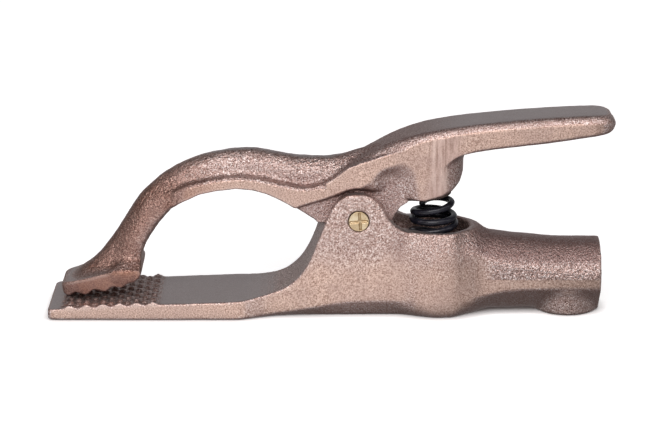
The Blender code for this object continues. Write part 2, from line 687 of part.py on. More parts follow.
def wire_section(share):
    step = 0.002
    centre = spring_point(share)
    ahead, behind = spring_point(min(share + step, 1)), spring_point(max(share - step, 0))
    tangent = (ahead - behind).normalized()
    sideways = tangent.cross(Vector((0, 0, 1))).normalized()
    upwards = sideways.cross(tangent).normalized()
    angles = [2 * math.pi * (m + 0.5) / SPRING_WIRE_SIDES for m in range(SPRING_WIRE_SIDES)]
    return [centre + (sideways * math.cos(angle) + upwards * math.sin(angle)) * SPRING_WIRE_RADIUS
            for angle in angles]


def build_spring(surface):
    mesh = loft([wire_section(k / SPRING_STEPS) for k in range(SPRING_STEPS + 1)])
    smooth(add_object("return_spring", mesh, surface), 70)


# ---- spring seats ----

# (height above the seat's underside, radius): a washer with a raised rim
LOWER_SEAT_PROFILE = [
    (0, 4.0), (0, POCKET_FLOOR_RADIUS - 0.4), (2.8, POCKET_FLOOR_RADIUS - 0.3),
    (2.8, POCKET_FLOOR_RADIUS - 0.8), (1.3, POCKET_FLOOR_RADIUS - 0.9), (1.3, 4.0)]
# (distance along the tilted axis, radius): a flat washer
UPPER_SEAT_PROFILE = [(0.0, 2.6), (0.0, 5.5), (1.4, 5.5), (1.4, 2.6)]
LOWER_SEAT_Z = POCKET_FLOOR_Z + 0.35


def build_seats(surface):
    lower = turned(LOWER_SEAT_PROFILE, 32, (POCKET_X, 0, LOWER_SEAT_Z), (0, 0, 1))
    smooth(add_object("lower_spring_seat", lower, surface))
    upper = turned(UPPER_SEAT_PROFILE, 32, SEAT_POINT, SEAT_AXIS)
    smooth(add_object("upper_spring_seat", upper, surface))


# ---- cable set screw and its captive ball ----

def build_set_screw(surface):
    """Screw with a hexagon socket below and a cup for the ball on top."""
    profile = [(SCREW_BOTTOM_Z, 0), (SCREW_BOTTOM_Z, SCREW_RADIUS - 0.7),
               (SCREW_BOTTOM_Z + 0.7, SCREW_RADIUS), (SCREW_TOP_Z - 0.9, SCREW_RADIUS),
               (SCREW_TOP_Z, SCREW_RADIUS - 1.4), (SCREW_TOP_Z, 0)]
    screw = add_object("cable_set_screw", turned(profile, 32, (SCREW_X, 0, 0), (0, 0, 1)), surface)
    hexagon = arc((SCREW_X, 0), HEX_ACROSS_FLATS / math.sqrt(3), range(0, 360, 60))
    socket = prism_xy(hexagon, -3.0, SCREW_BOTTOM_Z + HEX_DEPTH)
    boolean(screw, helper("hex_socket", socket), "DIFFERENCE")
    cup = sphere(BALL_RADIUS + BALL_CLEARANCE, 24, (SCREW_X, 0, BALL_Z))
    boolean(screw, helper("ball_cup", cup), "DIFFERENCE")
    settle(screw)
    smooth(screw)
    move_origin(screw, SCREW_X, 0, SCREW_BOTTOM_Z)


def build_ball(surface):
    ball = add_object("set_screw_ball", sphere(BALL_RADIUS, 20, (SCREW_X, 0, BALL_Z)), surface)
    smooth(ball, 60)
    move_origin(ball, SCREW_X, 0, BALL_Z)


# ---- build ----

bronze = material("cast_copper_bronze", colour=(0.36, 0.22, 0.17), roughness=0.45, metallic=0.85)
brass = material("brass", colour=(0.72, 0.56, 0.26), roughness=0.35, metallic=1.0)
black_steel = material("black_coated_steel", colour=(0.02, 0.02, 0.024), roughness=0.3,
                       metallic=0.4)
oxide_steel = material("black_oxide_steel", colour=(0.05, 0.05, 0.055), roughness=0.4,
                       metallic=0.9)
bright_steel = material("bright_steel", colour=(0.6, 0.6, 0.62), roughness=0.2, metallic=1.0)
fibre = material("vulcanised_fibre", colour=(0.10, 0.05, 0.04), roughness=0.7, metallic=0.0)

build_lower_jaw(bronze)
build_lever(bronze)
build_pin(brass)
build_spring(black_steel)
build_seats(fibre)
build_set_screw(oxide_steel)
build_ball(bright_steel)
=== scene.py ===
"""A bronze cable clamp: a lower jaw casting, and a lever jaw that turns on a pin above it.

The jaw noses point to -X and the cable barrel and handle to +X. Width runs along Y, Z is up,
and the clamp stands on z = 0. Both castings are the same on both sides of y = 0. Their
surfaces are meshed from signed distances that are negative inside the solid.
"""
import itertools
import math

import bpy
import numpy as np
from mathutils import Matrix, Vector


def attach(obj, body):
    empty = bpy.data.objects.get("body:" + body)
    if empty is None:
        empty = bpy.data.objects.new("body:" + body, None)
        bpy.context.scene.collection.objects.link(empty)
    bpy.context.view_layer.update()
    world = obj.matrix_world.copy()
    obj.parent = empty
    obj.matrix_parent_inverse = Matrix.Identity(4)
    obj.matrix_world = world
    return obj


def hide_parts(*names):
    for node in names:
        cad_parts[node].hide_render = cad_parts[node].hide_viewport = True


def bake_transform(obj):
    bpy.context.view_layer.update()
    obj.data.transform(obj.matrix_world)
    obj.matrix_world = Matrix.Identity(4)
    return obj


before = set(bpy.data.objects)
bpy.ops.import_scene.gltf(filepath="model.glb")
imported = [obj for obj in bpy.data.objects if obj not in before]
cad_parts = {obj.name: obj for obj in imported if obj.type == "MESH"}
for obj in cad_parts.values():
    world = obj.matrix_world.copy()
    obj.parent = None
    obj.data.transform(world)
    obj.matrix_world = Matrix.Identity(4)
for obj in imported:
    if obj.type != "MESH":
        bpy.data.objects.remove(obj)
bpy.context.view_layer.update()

# Lengths are drawing millimetres. Widths in y are half widths, measured from y = 0.
MM = 0.001
X_SHIFT = -2.0  # from drawing x to scene x

BODY_WIDTH, SLOT_WIDTH, HUB_WIDTH = 12.75, 8.3, 8.0
PIVOT_X, PIVOT_Z = 12.1, 35.8
BARREL_Z, BARREL_END = 13.35, 99.7
BORE_R, BORE_START = 9.2, 60.5
POCKET_X, POCKET_R, POCKET_FLOOR, POCKET_FLOOR_R, RIM_Z = 41.0, 11.3, 9.0, 10.8, 31.3
SCREW_X, SCREW_HOLE_R = 88.0, 6.6
SCREW_R, SCREW_BOTTOM, SCREW_TOP, THREAD_PITCH, HEX_ACROSS = 6.3, 0.8, 7.4, 1.954, 6.35
BALL_Z, BALL_R = 7.7, 2.4
PIN_R, PIN_END = 3.7, 12.6
TOOTH_PITCH, TOOTH_PITCH_Y, TOOTH_START, TOOTH_ROWS = 6.0, 5.667, -92.0, 6
NOSE_X = -100.1
FOOT_END_X = -66.4
SEAT_TILT = math.radians(12.0)
SEAT_POINT = (40.3, 0.0, 42.0)

# Side lines are (x, z) and width lines are (x, half width), all from nose to tail.
LOWER_TOP = [
    (NOSE_X, 3.9), (-96, 4.3), (-70, 5.6), (-45, 6.5), (-31, 7.0), (-25.6, 7.7), (-19.2, 9.1),
    (-14.4, 10.9), (-9.6, 14.8), (-6.4, 19.4), (-4.5, 23.4), (-2.6, 28.4), (-0.3, 33.9),
    (1.0, 37.2), (2.6, 40.4), (5.2, 43.6), (8.4, 45.3), (12.1, 45.7), (15.8, 44.9), (18.7, 43.1),
    (20.9, 40.2), (22.3, 37.6), (24.3, 34.8), (27.0, 32.7), (30.0, 31.5), (36, 31.2), (46, 31.1),
    (52, 30.9), (55, 30.3), (59, 29.0), (63.5, 28.4), (68, 27.8), (74.4, 27.2), (80, 26.6),
    (85, 26.3), (90, 26.25), (100.4, 26.25)]
LOWER_PARTING = [
    (NOSE_X, 0.6), (-31, 0.7), (-22, 1.0), (-11, 2.3), (-3, 3.7), (5.4, 5.3), (14, 6.0),
    (24, 6.0), (30, 5.2), (34, 3.4), (38, 1.2), (41, 0.6), (46, 1.2), (50, 3.4), (55, 6.2),
    (60, 8.4), (66, 9.7), (74, 10.2), (100.4, 10.1)]
LOWER_WIDTH = [
    (NOSE_X, 16.0), (-98.5, 16.8), (-96, 17.0), (-33, 17.0), (-30, 16.6), (-26, 15.3),
    (-21, 13.7), (-17, 12.9), (-13, BODY_WIDTH), (100.4, BODY_WIDTH)]
LOWER_BOTTOM_WIDTH = [
    (NOSE_X, 15.7), (-96, 16.7), (-33, 16.7), (-28, 15.2), (-20, 12.0), (-12, 10.4),
    (30, 10.0), (50, 10.0), (62, 6.0), (100.4, 4.5)]
LOWER_BOTTOM = [
    (NOSE_X, 0.5), (-99.0, 0.0), (46, 0.0), (56, 0.2), (66, 0.3), (74, 0.45), (100.4, 0.45)]
# (z, radius) of the round wall about the spring pocket
POCKET_WALL = [
    (0, 12.6), (1.2, 14.1), (3.6, 15.3), (7.0, 15.9), (14.0, 15.8), (20.0, 15.2), (25.5, 14.1),
    (29.0, 13.2), (31.3, 12.5)]
LEVER_TOP = [
    (-74.0, 16.5), (-72.2, 22.5), (-70.3, 27.5), (-68.1, 31.4), (-65.6, 35.2), (-62.5, 39.0),
    (-57.9, 43.0), (-53.2, 46.2), (-49.6, 48.0), (-44.9, 49.5), (-36, 51.2), (-30, 51.5),
    (-22.6, 50.6), (-14, 48.6), (-7.5, 47.6), (-3, 48.2), (1.8, 50.3), (9.0, 55.7), (13.5, 58.3),
    (17.8, 60.7), (22.2, 63.0), (26.8, 65.0), (35.4, 67.6), (44, 69.3), (53, 70.6), (66, 71.9),
    (75, 72.6), (86, 73.3), (98, 73.7), (101.6, 73.4), (103.4, 72.4), (104.1, 70.9)]
LEVER_BOTTOM = [
    (FOOT_END_X, 16.0), (FOOT_END_X, 22.0), (-65.9, 25.2), (-64.3, 28.6), (-62.1, 31.9),
    (-60, 34.6), (-57.8, 36.8), (-55.6, 38.9), (-51, 42.0), (-44.9, 44.9), (-38.4, 46.3),
    (-32, 47.0), (-25.5, 46.4), (-21.2, 45.2), (-16.9, 43.2), (-12.6, 40.8), (-8.3, 38.1),
    (-4.0, 35.3), (-2.8, 34.2)]
HANDLE_BOTTOM = [
    (22, 51.4), (40, 57.0), (49.9, 60.0), (56.3, 61.1), (67.1, 62.5), (80, 64.0), (93, 65.9),
    (101.0, 67.2), (103.2, 68.1), (104.1, 69.6)]
LEVER_WIDTH = [
    (-78, 10.0), (-8, 10.0), (2, 10.3), (18, 10.9), (28, 11.4), (49, 11.4), (58, 11.1),
    (80, 10.8), (95.6, 10.4), (99.6, 9.6), (102.2, 8.0), (104.1, 4.6)]
LEVER_BOSS_SIDE = [
    (16.0, 46.0), (21.5, 43.2), (24.5, 41.9), (28.3, 41.3), (33, 42.0), (37.5, 43.1), (42, 44.5),
    (45.7, 46.3), (48.5, 49.1), (49.9, 52.3), (50.3, 56), (50.3, 62.0), (40, 62.0), (34, 63),
    (18, 57)]
FOOT_TOP = [
    (-95.9, 9.9), (-95.5, 10.9), (-94.7, 11.4), (-90.1, 12.7), (-84.8, 14.2), (-79.7, 15.8),
    (-74.5, 16.8), (FOOT_END_X, 17.2)]
FOOT_WIDTH = [
    (-95.8, 6.8), (-95.3, 7.8), (-94.5, 8.5), (-93, 9.2), (-90, 9.9), (-84.8, 10.7),
    (-79.7, 11.2), (-74.5, 11.5), (FOOT_END_X, 11.6)]
FOOT_TEETH = [
    (-95.8, 8.0), (-94.8, 6.9), (-92.9, 6.6), (-90.2, 8.1), (-86.5, 7.2), (-83.3, 9.5),
    (-79.7, 8.8), (-76.4, 10.8), (-73.6, 10.4), (-70.8, 12.4), (-69.3, 12.6), (-67.4, 13.9),
    (FOOT_END_X, 15.6)]
RIB_CREST = [
    (-88, 14.6), (-84.5, 18.0), (-82.4, 20.4), (-80.2, 23.1), (-78, 26.0), (-75.8, 29.0),
    (-73.7, 32.3), (-71.5, 35.8), (-69.3, 39.4), (-67.1, 42.4), (-65, 44.8), (-62.8, 46.8),
    (-60.6, 48.7), (-58.4, 50.4), (-56.2, 51.8), (-51.9, 54.3), (-47.5, 56.3), (-41, 58.3),
    (-36.6, 59.1), (-32.3, 59.7), (-25.8, 59.9), (-21.4, 59.2), (-17, 58.4), (-12.7, 57.6),
    (-8.3, 57.1), (0.4, 56.9), (4.7, 57.5), (9.1, 58.6), (13.4, 60.0), (18, 61.4), (23, 63.0)]
# closed side outline of the narrow part of the lever beside the ears
RELIEF_SIDE = [
    (-14.5, 33), (-14.0, 37.4), (-9.0, 40.2), (-5.9, 41.2), (0.6, 43.1), (4.4, 44.6), (7.8, 46.1),
    (10.9, 46.8), (13.5, 46.8), (16.2, 46.6), (18.6, 47.4), (21.0, 49.2), (23.6, 49.8),
    (25.2, 48.4), (25.8, 45.0), (26.6, 41.5), (28.0, 38.5), (28.0, 20), (-14.5, 20)]

# Spring tables are (turn, value), counted from the bottom end.
SPRING_TURNS, WIRE_R = 5, 1.2
SPRING_RISE = [
    (0.0, 12.5), (0.5, 12.6), (0.75, 13.2), (1.0, 15.0), (1.25, 18.2), (1.5, 22.0), (1.75, 25.8),
    (2.0, 28.8), (2.25, 30.6), (2.5, 31.8), (2.75, 32.7), (3.0, 33.4), (3.25, 33.9), (3.5, 34.4),
    (3.75, 35.2), (4.0, 36.1), (4.25, 37.9), (4.5, 39.6), (4.75, 39.8), (5.0, 38.9)]
SPRING_R = [
    (0.0, 8.3), (1.5, 8.3), (2.5, 7.9), (3.0, 7.6), (3.5, 7.45), (4.0, 7.2), (4.25, 6.1),
    (4.5, 5.35), (5.0, 5.2)]
SPRING_MID_X = [(0.0, 40.9), (1.5, 40.0), (2.5, 39.3), (4.0, 39.2), (4.5, 40.4), (5.0, 40.4)]

CORNERS = list(itertools.product((0, 1), repeat=3))


# ---------------------------------------------------------------- lines and distances
def along(points, x):
    """Smooth value at x on a line of (x, value) points, with no overshoot between them."""
    knots, values = np.array(points, float).T
    x = np.clip(np.asarray(x, float), knots[0], knots[-1])
    i = np.clip(np.searchsorted(knots, x, side="right") - 1, 0, len(knots) - 2)
    slope = np.diff(values) / np.diff(knots)
    tangent = np.zeros(len(knots))
    tangent[0], tangent[-1] = slope[0], slope[-1]
    before, after = slope[:-1], slope[1:]
    product, total = before * after, before + after
    safe_total = np.where(np.abs(total) < 1e-12, 1, total)
    tangent[1:-1] = np.where(product > 0, 2 * product / safe_total, 0)
    gap = knots[i + 1] - knots[i]
    t = (x - knots[i]) / gap
    return ((2 * t**3 - 3 * t**2 + 1) * values[i] + (t**3 - 2 * t**2 + t) * gap * tangent[i]
            + (-2 * t**3 + 3 * t**2) * values[i + 1] + (t**3 - t**2) * gap * tangent[i + 1])


def traced(points, step):
    x = np.append(np.arange(points[0][0], points[-1][0], step), points[-1][0])
    return list(zip(x.tolist(), along(points, x).tolist()))


def common(first, second, edge):
    """Both solids' common part, with its new edge rounded to radius edge."""
    return (np.minimum(np.maximum(first, second), -edge)
            + np.hypot(np.maximum(first + edge, 0), np.maximum(second + edge, 0)))


def cut(solid, tool, edge):
    return common(solid, -tool, edge)


def joined(first, second, fillet):
    """The two solids joined, with a fillet in the corner."""
    return (np.maximum(np.minimum(first, second), fillet)
            - np.hypot(np.maximum(fillet - first, 0), np.maximum(fillet - second, 0)))


def step_up(start, end, value):
    """Smooth step from 0 at start to 1 at end; falls with value where start is above end."""
    t = np.clip((value - start) / (end - start), 0, 1)
    return t * t * (3 - 2 * t)


def segment_distance(x, y, start, end):
    """Squared distance in a plane from a segment, and the nearest place on it, 0 to 1."""
    run_x, run_y = end[0] - start[0], end[1] - start[1]
    from_x, from_y = x - start[0], y - start[1]
    part = np.clip((from_x * run_x + from_y * run_y) / (run_x * run_x + run_y * run_y), 0, 1)
    return (from_x - part * run_x) ** 2 + (from_y - part * run_y) ** 2, part


def outline_distance(x, y, points):
    """Signed distance in a plane from a closed outline, negative inside it."""
    points = np.array(points, float)
    nearest = np.full(np.broadcast(x, y).shape, 1e12, np.float32)
    inside = np.zeros(nearest.shape, bool)
    for start, end in zip(points, np.roll(points, -1, axis=0)):
        run_x, run_y = end - start
        if run_x * run_x + run_y * run_y < 1e-14:
            continue
        nearest = np.minimum(nearest, segment_distance(x, y, start, end)[0])
        if run_y != 0:
            crosses = (y >= start[1]) != (y >= end[1])
            inside ^= crosses & (x < start[0] + (y - start[1]) * run_x / run_y)
    return (np.sqrt(nearest) * np.where(inside, -1, 1)).astype(np.float32)


def line_distance(x, y, points, values):
    """Distance from an open line, and the value carried by the nearest place on it."""
    best = np.full(np.broadcast(x, y).shape, 1e12, np.float32)
    carried = np.zeros(best.shape, np.float32)
    for start, end, value, next_value in zip(points, points[1:], values, values[1:]):
        distance, part = segment_distance(x, y, start, end)
        nearer = distance < best
        best = np.where(nearer, distance, best)
        carried = np.where(nearer, value + (next_value - value) * part, carried)
    return np.sqrt(best), carried


def pivot_arc(radius, degrees):
    """Side outline points at a radius from the pivot."""
    return [(PIVOT_X + radius * math.cos(math.radians(a)),
             PIVOT_Z + radius * math.sin(math.radians(a))) for a in degrees]


# ---------------------------------------------------------------- sampled solids
def corner_blend(part, value_at):
    """Blend of a cell's eight corner values; part is the place in the cell, 0 to 1."""
    total = 0
    for corner in CORNERS:
        share_x, share_y, share_z = (part[:, k] if corner[k] else 1 - part[:, k]
                                     for k in range(3))
        total = total + share_x * share_y * share_z * value_at(corner)
    return total


class Grid:
    """Sample points of a solid; a mirrored one samples y > 0 only."""

    def __init__(self, low, high, step, mirrored=True):
        self.step, self.mirrored = step, mirrored
        self.low = np.array(low, float)
        counts = [int(math.ceil((b - a) / step)) + 1 for a, b in zip(low, high)]
        if mirrored:
            self.low[1] = step / 2
            counts[1] = int(math.ceil(high[1] / step)) + 1
        self.axes = np.ix_(*(start + step * np.arange(count, dtype=np.float32)
                             for start, count in zip(self.low, counts)))

    def side(self, points):
        return outline_distance(self.axes[0], self.axes[2], points)

    def plan(self, points):
        return outline_distance(self.axes[0], self.axes[1], points)

    def field(self, values):
        """The whole solid, with both sides of a mirrored one."""
        shape = tuple(axis.size for axis in self.axes)
        values = np.broadcast_to(values, shape).astype(np.float32)
        low = self.low.copy()
        if self.mirrored:
            values = np.concatenate([values[:, ::-1], values], axis=1)
            low[1] = -(self.low[1] + self.step * (shape[1] - 1))
        return Field(np.ascontiguousarray(values), low, self.step)


class Field:
    """Signed distance samples on an even grid whose lowest corner is low."""

    def __init__(self, values, low, step):
        self.values, self.low, self.step = values, low, step

    def sampled(self, places):
        """Distance at places, linear between samples."""
        scaled = (places - self.low) / self.step
        cell = np.clip(np.floor(scaled).astype(int), 0, np.array(self.values.shape) - 2)
        return corner_blend(np.clip(scaled - cell, 0, 1),
                            lambda corner: self.values[tuple((cell + corner).T)])

    def gradient(self, places):
        reach = 0.6 * self.step
        change = [self.sampled(places + shift) - self.sampled(places - shift)
                  for shift in np.eye(3) * reach]
        return np.stack(change, axis=1) / (2 * reach)

    def normals(self, places):
        slope = self.gradient(places)
        return slope / np.maximum(np.linalg.norm(slope, axis=1), 1e-6)[:, None]

    def hollows(self, places, normals, reach, gain, offset):
        """0 on open surfaces to 1 in hollows about as small as reach."""
        outside = self.sampled(places + normals * reach)
        return np.clip((reach - outside) / reach * gain - offset, 0, 1)

    def edges(self, places, normals, reach):
        """0 on flat surfaces to 1 on edges about as sharp as reach."""
        behind = self.sampled(places - normals * reach)
        return np.clip((reach + behind) / reach * 1.5 - 0.35, 0, 1)

    def crossing_points(self, cells):
        """Mean place, in each cell, of the surface's crossings with the cell's edges."""
        total = np.zeros((len(cells), 3))
        count = np.zeros(len(cells))
        value = {corner: self.values[tuple((cells + corner).T)].astype(float)
                 for corner in CORNERS}
        for axis in range(3):
            for corner in CORNERS:
                if corner[axis]:
                    continue
                start = value[corner]
                end = value[tuple(1 if k == axis else corner[k] for k in range(3))]
                cross = (start < 0) != (end < 0)
                part = np.where(cross, start / np.where(cross, start - end, 1), 0)
                for k in range(3):
                    total[:, k] += np.where(cross, part if k == axis else corner[k], 0)
                count += cross
        return self.low + self.step * (cells + total / count[:, None])

    def relaxed(self, verts, quads):
        """Vertices evened out along the surface and pulled back onto it."""
        edges = np.concatenate([quads[:, [k, (k + 1) % 4]] for k in range(4)])
        for _ in range(3):
            mean = np.zeros_like(verts)
            seen = np.zeros(len(verts))
            for here, there in ((0, 1), (1, 0)):
                for k in range(3):
                    mean[:, k] += np.bincount(edges[:, here], weights=verts[edges[:, there], k],
                                              minlength=len(verts))
                seen += np.bincount(edges[:, here], minlength=len(verts))
            verts = 0.5 * verts + 0.5 * mean / seen[:, None]
            slope = self.gradient(verts)
            length = np.maximum(np.linalg.norm(slope, axis=1), 0.35)
            move = -(self.sampled(verts) / length**2)[:, None] * slope
            far = np.linalg.norm(move, axis=1)
            limit = np.minimum(1, 0.6 * self.step / np.maximum(far, 1e-9))
            verts = verts + move * limit[:, None]
        return verts

    def skin(self):
        """Vertices and quads over the zero surface, one vertex in each cell it crosses."""
        inside = self.values < 0
        shape = inside.shape
        filled = np.zeros(tuple(n - 1 for n in shape), np.int8)
        for corner in CORNERS:
            filled += inside[tuple(slice(c, c + n - 1) for c, n in zip(corner, shape))]
        active = (filled > 0) & (filled < 8)
        cells = np.argwhere(active)
        number = np.full(active.shape, -1, np.int64)
        number[active] = np.arange(len(cells))
        groups = []
        for axis in range(3):
            sides = [k for k in range(3) if k != axis]
            first, second = (tuple(ends if k == axis else slice(1, -1) for k in range(3))
                             for ends in (slice(0, -1), slice(1, None)))
            change = inside[first] != inside[second]
            where = np.argwhere(change)
            where[:, sides] += 1
            around = []
            for shift in ((-1, -1), (0, -1), (0, 0), (-1, 0)):
                cell = where.copy()
                cell[:, sides] += shift
                around.append(number[tuple(cell.T)])
            quads = np.stack(around, axis=1)
            # every quad faces out of the solid
            keep = inside[first][change] if axis != 1 else ~inside[first][change]
            quads[~keep] = quads[~keep][:, ::-1]
            groups.append(quads)
        quads = np.concatenate(groups)
        return self.relaxed(self.crossing_points(cells), quads), quads.tolist()


def lattice(places, size, seed):
    """Smooth repeatable noise from -1 to 1."""
    scaled = places / size + seed * 17.31
    base = np.floor(scaled).astype(np.int64)
    part = scaled - base
    part = part * part * (3 - 2 * part)

    def hashed(corner):
        x, y, z = (base + np.array(corner)).T
        bits = (x * 73856093) ^ (y * 19349663) ^ (z * 83492791) ^ (seed * 2654435761)
        bits = bits & 0xFFFFFFFF
        bits = ((bits ^ (bits >> 15)) * 2246822519) & 0xFFFFFFFF
        bits = ((bits ^ (bits >> 13)) * 3266489917) & 0xFFFFFFFF
        bits = bits ^ (bits >> 16)
        return (bits & 0xFFFFFF) / float(0x7FFFFF) - 1.0

    return corner_blend(part, hashed)


def mesh_object(name, verts, faces, material, attributes=None):
    world = np.array(verts, float) * MM
    world[:, 0] += X_SHIFT * MM
    mesh = bpy.data.meshes.new(name)
    mesh.from_pydata(world.tolist(), [], faces)
    for key, values in (attributes or {}).items():
        attribute = mesh.attributes.new(key, "FLOAT", "POINT")
        attribute.data.foreach_set("value", np.asarray(values, np.float32))
    mesh.shade_smooth()
    mesh.materials.append(material)
    return link_object(name, mesh)


def link_object(name, data):
    obj = bpy.data.objects.new(name, data)
    bpy.context.scene.collection.objects.link(obj)
    return obj


# ---------------------------------------------------------------- node helpers
class Nodes:
    """Short calls that add and link nodes in one shader tree."""

    def __init__(self, tree):
        self.tree = tree

    def new(self, kind, **settings):
        node = self.tree.nodes.new(kind)
        for key, value in settings.items():
            setattr(node, key, value)
        return node

    def put(self, socket, value):
        if isinstance(value, bpy.types.NodeSocket):
            self.tree.links.new(value, socket)
        elif isinstance(value, tuple) and len(value) == 3 and socket.type == "RGBA":
            socket.default_value = (*value, 1)
        else:
            socket.default_value = value

    def math(self, operation, first, second=0.0, clamp=False):
        node = self.new("ShaderNodeMath", operation=operation, use_clamp=clamp)
        self.put(node.inputs[0], first)
        self.put(node.inputs[1], second)
        return node.outputs[0]

    def times(self, first, second, clamp=False):
        return self.math("MULTIPLY", first, second, clamp)

    def plus(self, first, second):
        return self.math("ADD", first, second)

    def ramp(self, fac, stops):
        """Colour ramp; stops are (position, colour)."""
        node = self.new("ShaderNodeValToRGB")
        while len(node.color_ramp.elements) < len(stops):
            node.color_ramp.elements.new(0.5)
        for element, (position, colour) in zip(node.color_ramp.elements, stops):
            element.position = position
            element.color = (*colour, 1)
        self.put(node.inputs["Fac"], fac)
        return node.outputs["Color"]

    def span(self, value, across, to=(0.0, 1.0)):
        """Smooth step between the two ends of across, giving the two values of to."""
        node = self.new("ShaderNodeMapRange", interpolation_type="SMOOTHSTEP")
        self.put(node.inputs["Value"], value)
        for key, number in zip(("From Min", "From Max", "To Min", "To Max"), (*across, *to)):
            self.put(node.inputs[key], number)
        return node.outputs["Result"]

    def mix(self, fac, base, over, blend="MIX"):
        node = self.new("ShaderNodeMix", data_type="RGBA", blend_type=blend)
        self.put(node.inputs["Factor"], fac)
        # 6 and 7 are the two colour sockets
        self.put(node.inputs[6], base)
        self.put(node.inputs[7], over)
        return node.outputs[2]

    def tint(self, base, over, mask, strength, clamp=True):
        return self.mix(self.times(mask, strength, clamp), base, over)

    def split(self, vector):
        node = self.new("ShaderNodeSeparateXYZ")
        self.put(node.inputs[0], vector)
        return node.outputs


class MaterialNodes(Nodes):
    """A new material, textured in object coordinates."""

    def __init__(self, name):
        self.material = bpy.data.materials.new(name)
        self.material.use_nodes = True
        super().__init__(self.material.node_tree)
        self.shader = self.tree.nodes["Principled BSDF"]
        self.place = self.new("ShaderNodeTexCoord").outputs["Object"]

    def noise(self, scale, detail=3.0, roughness=0.6, stretch=None, distortion=0.0):
        node = self.new("ShaderNodeTexNoise")
        place = self.place
        if stretch:
            mapping = self.new("ShaderNodeMapping")
            mapping.inputs["Scale"].default_value = stretch
            self.put(mapping.inputs["Vector"], place)
            place = mapping.outputs["Vector"]
        self.put(node.inputs["Vector"], place)
        node.inputs["Scale"].default_value = scale
        node.inputs["Detail"].default_value = detail
        node.inputs["Roughness"].default_value = roughness
        node.inputs["Distortion"].default_value = distortion
        return node.outputs["Fac"]

    def attribute(self, name):
        return self.new("ShaderNodeAttribute", attribute_name=name).outputs["Fac"]

    def bump(self, height, distance, strength):
        node = self.new("ShaderNodeBump")
        self.put(node.inputs["Height"], height)
        self.put(node.inputs["Distance"], distance)
        self.put(node.inputs["Strength"], strength)
        return node.outputs["Normal"]

    def finish(self, **values):
        for key, value in values.items():
            self.put(self.shader.inputs[key.replace("_", " ")], value)
        return self.material

    def fine_finish(self, colour, metallic, grain, roughness, depth, strength, relief=None):
        """Roughness follows the grain noise, and so does the bump unless relief is given."""
        return self.finish(
            Base_Color=colour, Metallic=metallic,
            Roughness=self.span(grain, across=(0.3, 0.7), to=roughness),
            Normal=self.bump(relief or grain, depth, strength))


# ---------------------------------------------------------------- materials
def bronze_colour(n, speck, ground, hollow, facing_z):
    """Ground faces are paler; hollows and faces that look down are darker, as painted shade."""
    patch = n.noise(scale=75, detail=4.0)
    cast = n.ramp(speck, [(0.36, (0.12, 0.060, 0.048)), (0.455, (0.43, 0.288, 0.250)),
                          (0.54, (0.63, 0.470, 0.435)), (0.64, (1.0, 0.92, 0.89))])
    smooth = n.ramp(speck, [(0.34, (0.28, 0.165, 0.120)), (0.49, (0.61, 0.415, 0.340)),
                            (0.66, (0.90, 0.69, 0.58))])
    scratch = n.noise(scale=700, stretch=(1.0, 1.0, 0.10))
    streak = n.ramp(scratch, [(0.36, (0.34, 0.22, 0.18)), (0.50, (0.60, 0.42, 0.365)),
                              (0.66, (0.80, 0.62, 0.55))])
    smooth = n.tint(smooth, streak, mask=n.attribute("brushed"), strength=0.75, clamp=False)
    colour = n.mix(ground, cast, smooth)
    # painted arm shade: the lower arm is darkened and browned
    colour = n.mix(n.attribute("painted_arm_shade"), colour, (0.56, 0.415, 0.355), blend="MULTIPLY")
    blotch = n.span(patch, across=(0.35, 0.65), to=(0.0, 0.30))
    colour = n.mix(blotch, colour, (0.44, 0.31, 0.275))
    # hollows and the painted shade weights darken the colour: painted shade, and in the small
    # hollows also dark patina
    colour = n.tint(colour, (0.235, 0.142, 0.134), mask=hollow, strength=0.70)
    # edges are lightened: wear on the rubbed edges together with a painted highlight along them
    colour = n.tint(colour, (0.88, 0.72, 0.66), mask=n.attribute("edge"), strength=0.35)
    # painted reflection: faces that look up are greyed, less so in hollows and under the painted
    # shade weights
    painted_grey_reflection = n.times(n.span(facing_z, across=(0.93, 0.995)),
                      n.span(hollow, across=(0.05, 0.8), to=(0.80, 0.15)))
    colour = n.mix(painted_grey_reflection, colour, (0.53, 0.475, 0.47))
    # painted shade: faces that look down are darkened
    underside = n.span(facing_z, across=(-0.05, -0.60))
    return n.tint(colour, (0.20, 0.125, 0.108), mask=underside, strength=0.74, clamp=False)


def cast_bronze(name):
    """Sand-cast copper bronze, grainy where cast and smoother where ground."""
    n = MaterialNodes(name)
    grain = n.noise(scale=2000, detail=2.0)
    worms = n.noise(scale=900, detail=1.0, roughness=0.4, distortion=0.6)
    dust = n.noise(scale=4200, detail=1.5, roughness=0.5)
    ground = n.attribute("ground")
    hollow = n.attribute("hollow")
    facing_z = n.split(n.new("ShaderNodeNewGeometry").outputs["Normal"])["Z"]
    # shares of the coarse and fine noise in the colour, then in the relief
    speck = n.plus(n.times(grain, 0.75), n.times(dust, 0.25))
    height = n.plus(n.times(grain, 0.60), n.times(dust, 0.12))
    height = n.plus(height, n.times(n.times(worms, n.attribute("coarse")), 1.1))
    strength = n.times(n.span(ground, across=(0.0, 1.0), to=(1.0, 0.45)),
                       n.span(facing_z, across=(0.85, 0.98), to=(1.0, 0.45)))
    hollow_roughness = n.times(hollow, 0.12)
    roughness = n.plus(n.span(dust, across=(0.3, 0.7), to=(0.28, 0.44)), hollow_roughness)
    return n.finish(Base_Color=bronze_colour(n, speck, ground, hollow, facing_z),
                    Metallic=0.92, Roughness=roughness,
                    Normal=n.bump(height, distance=0.00052, strength=strength))


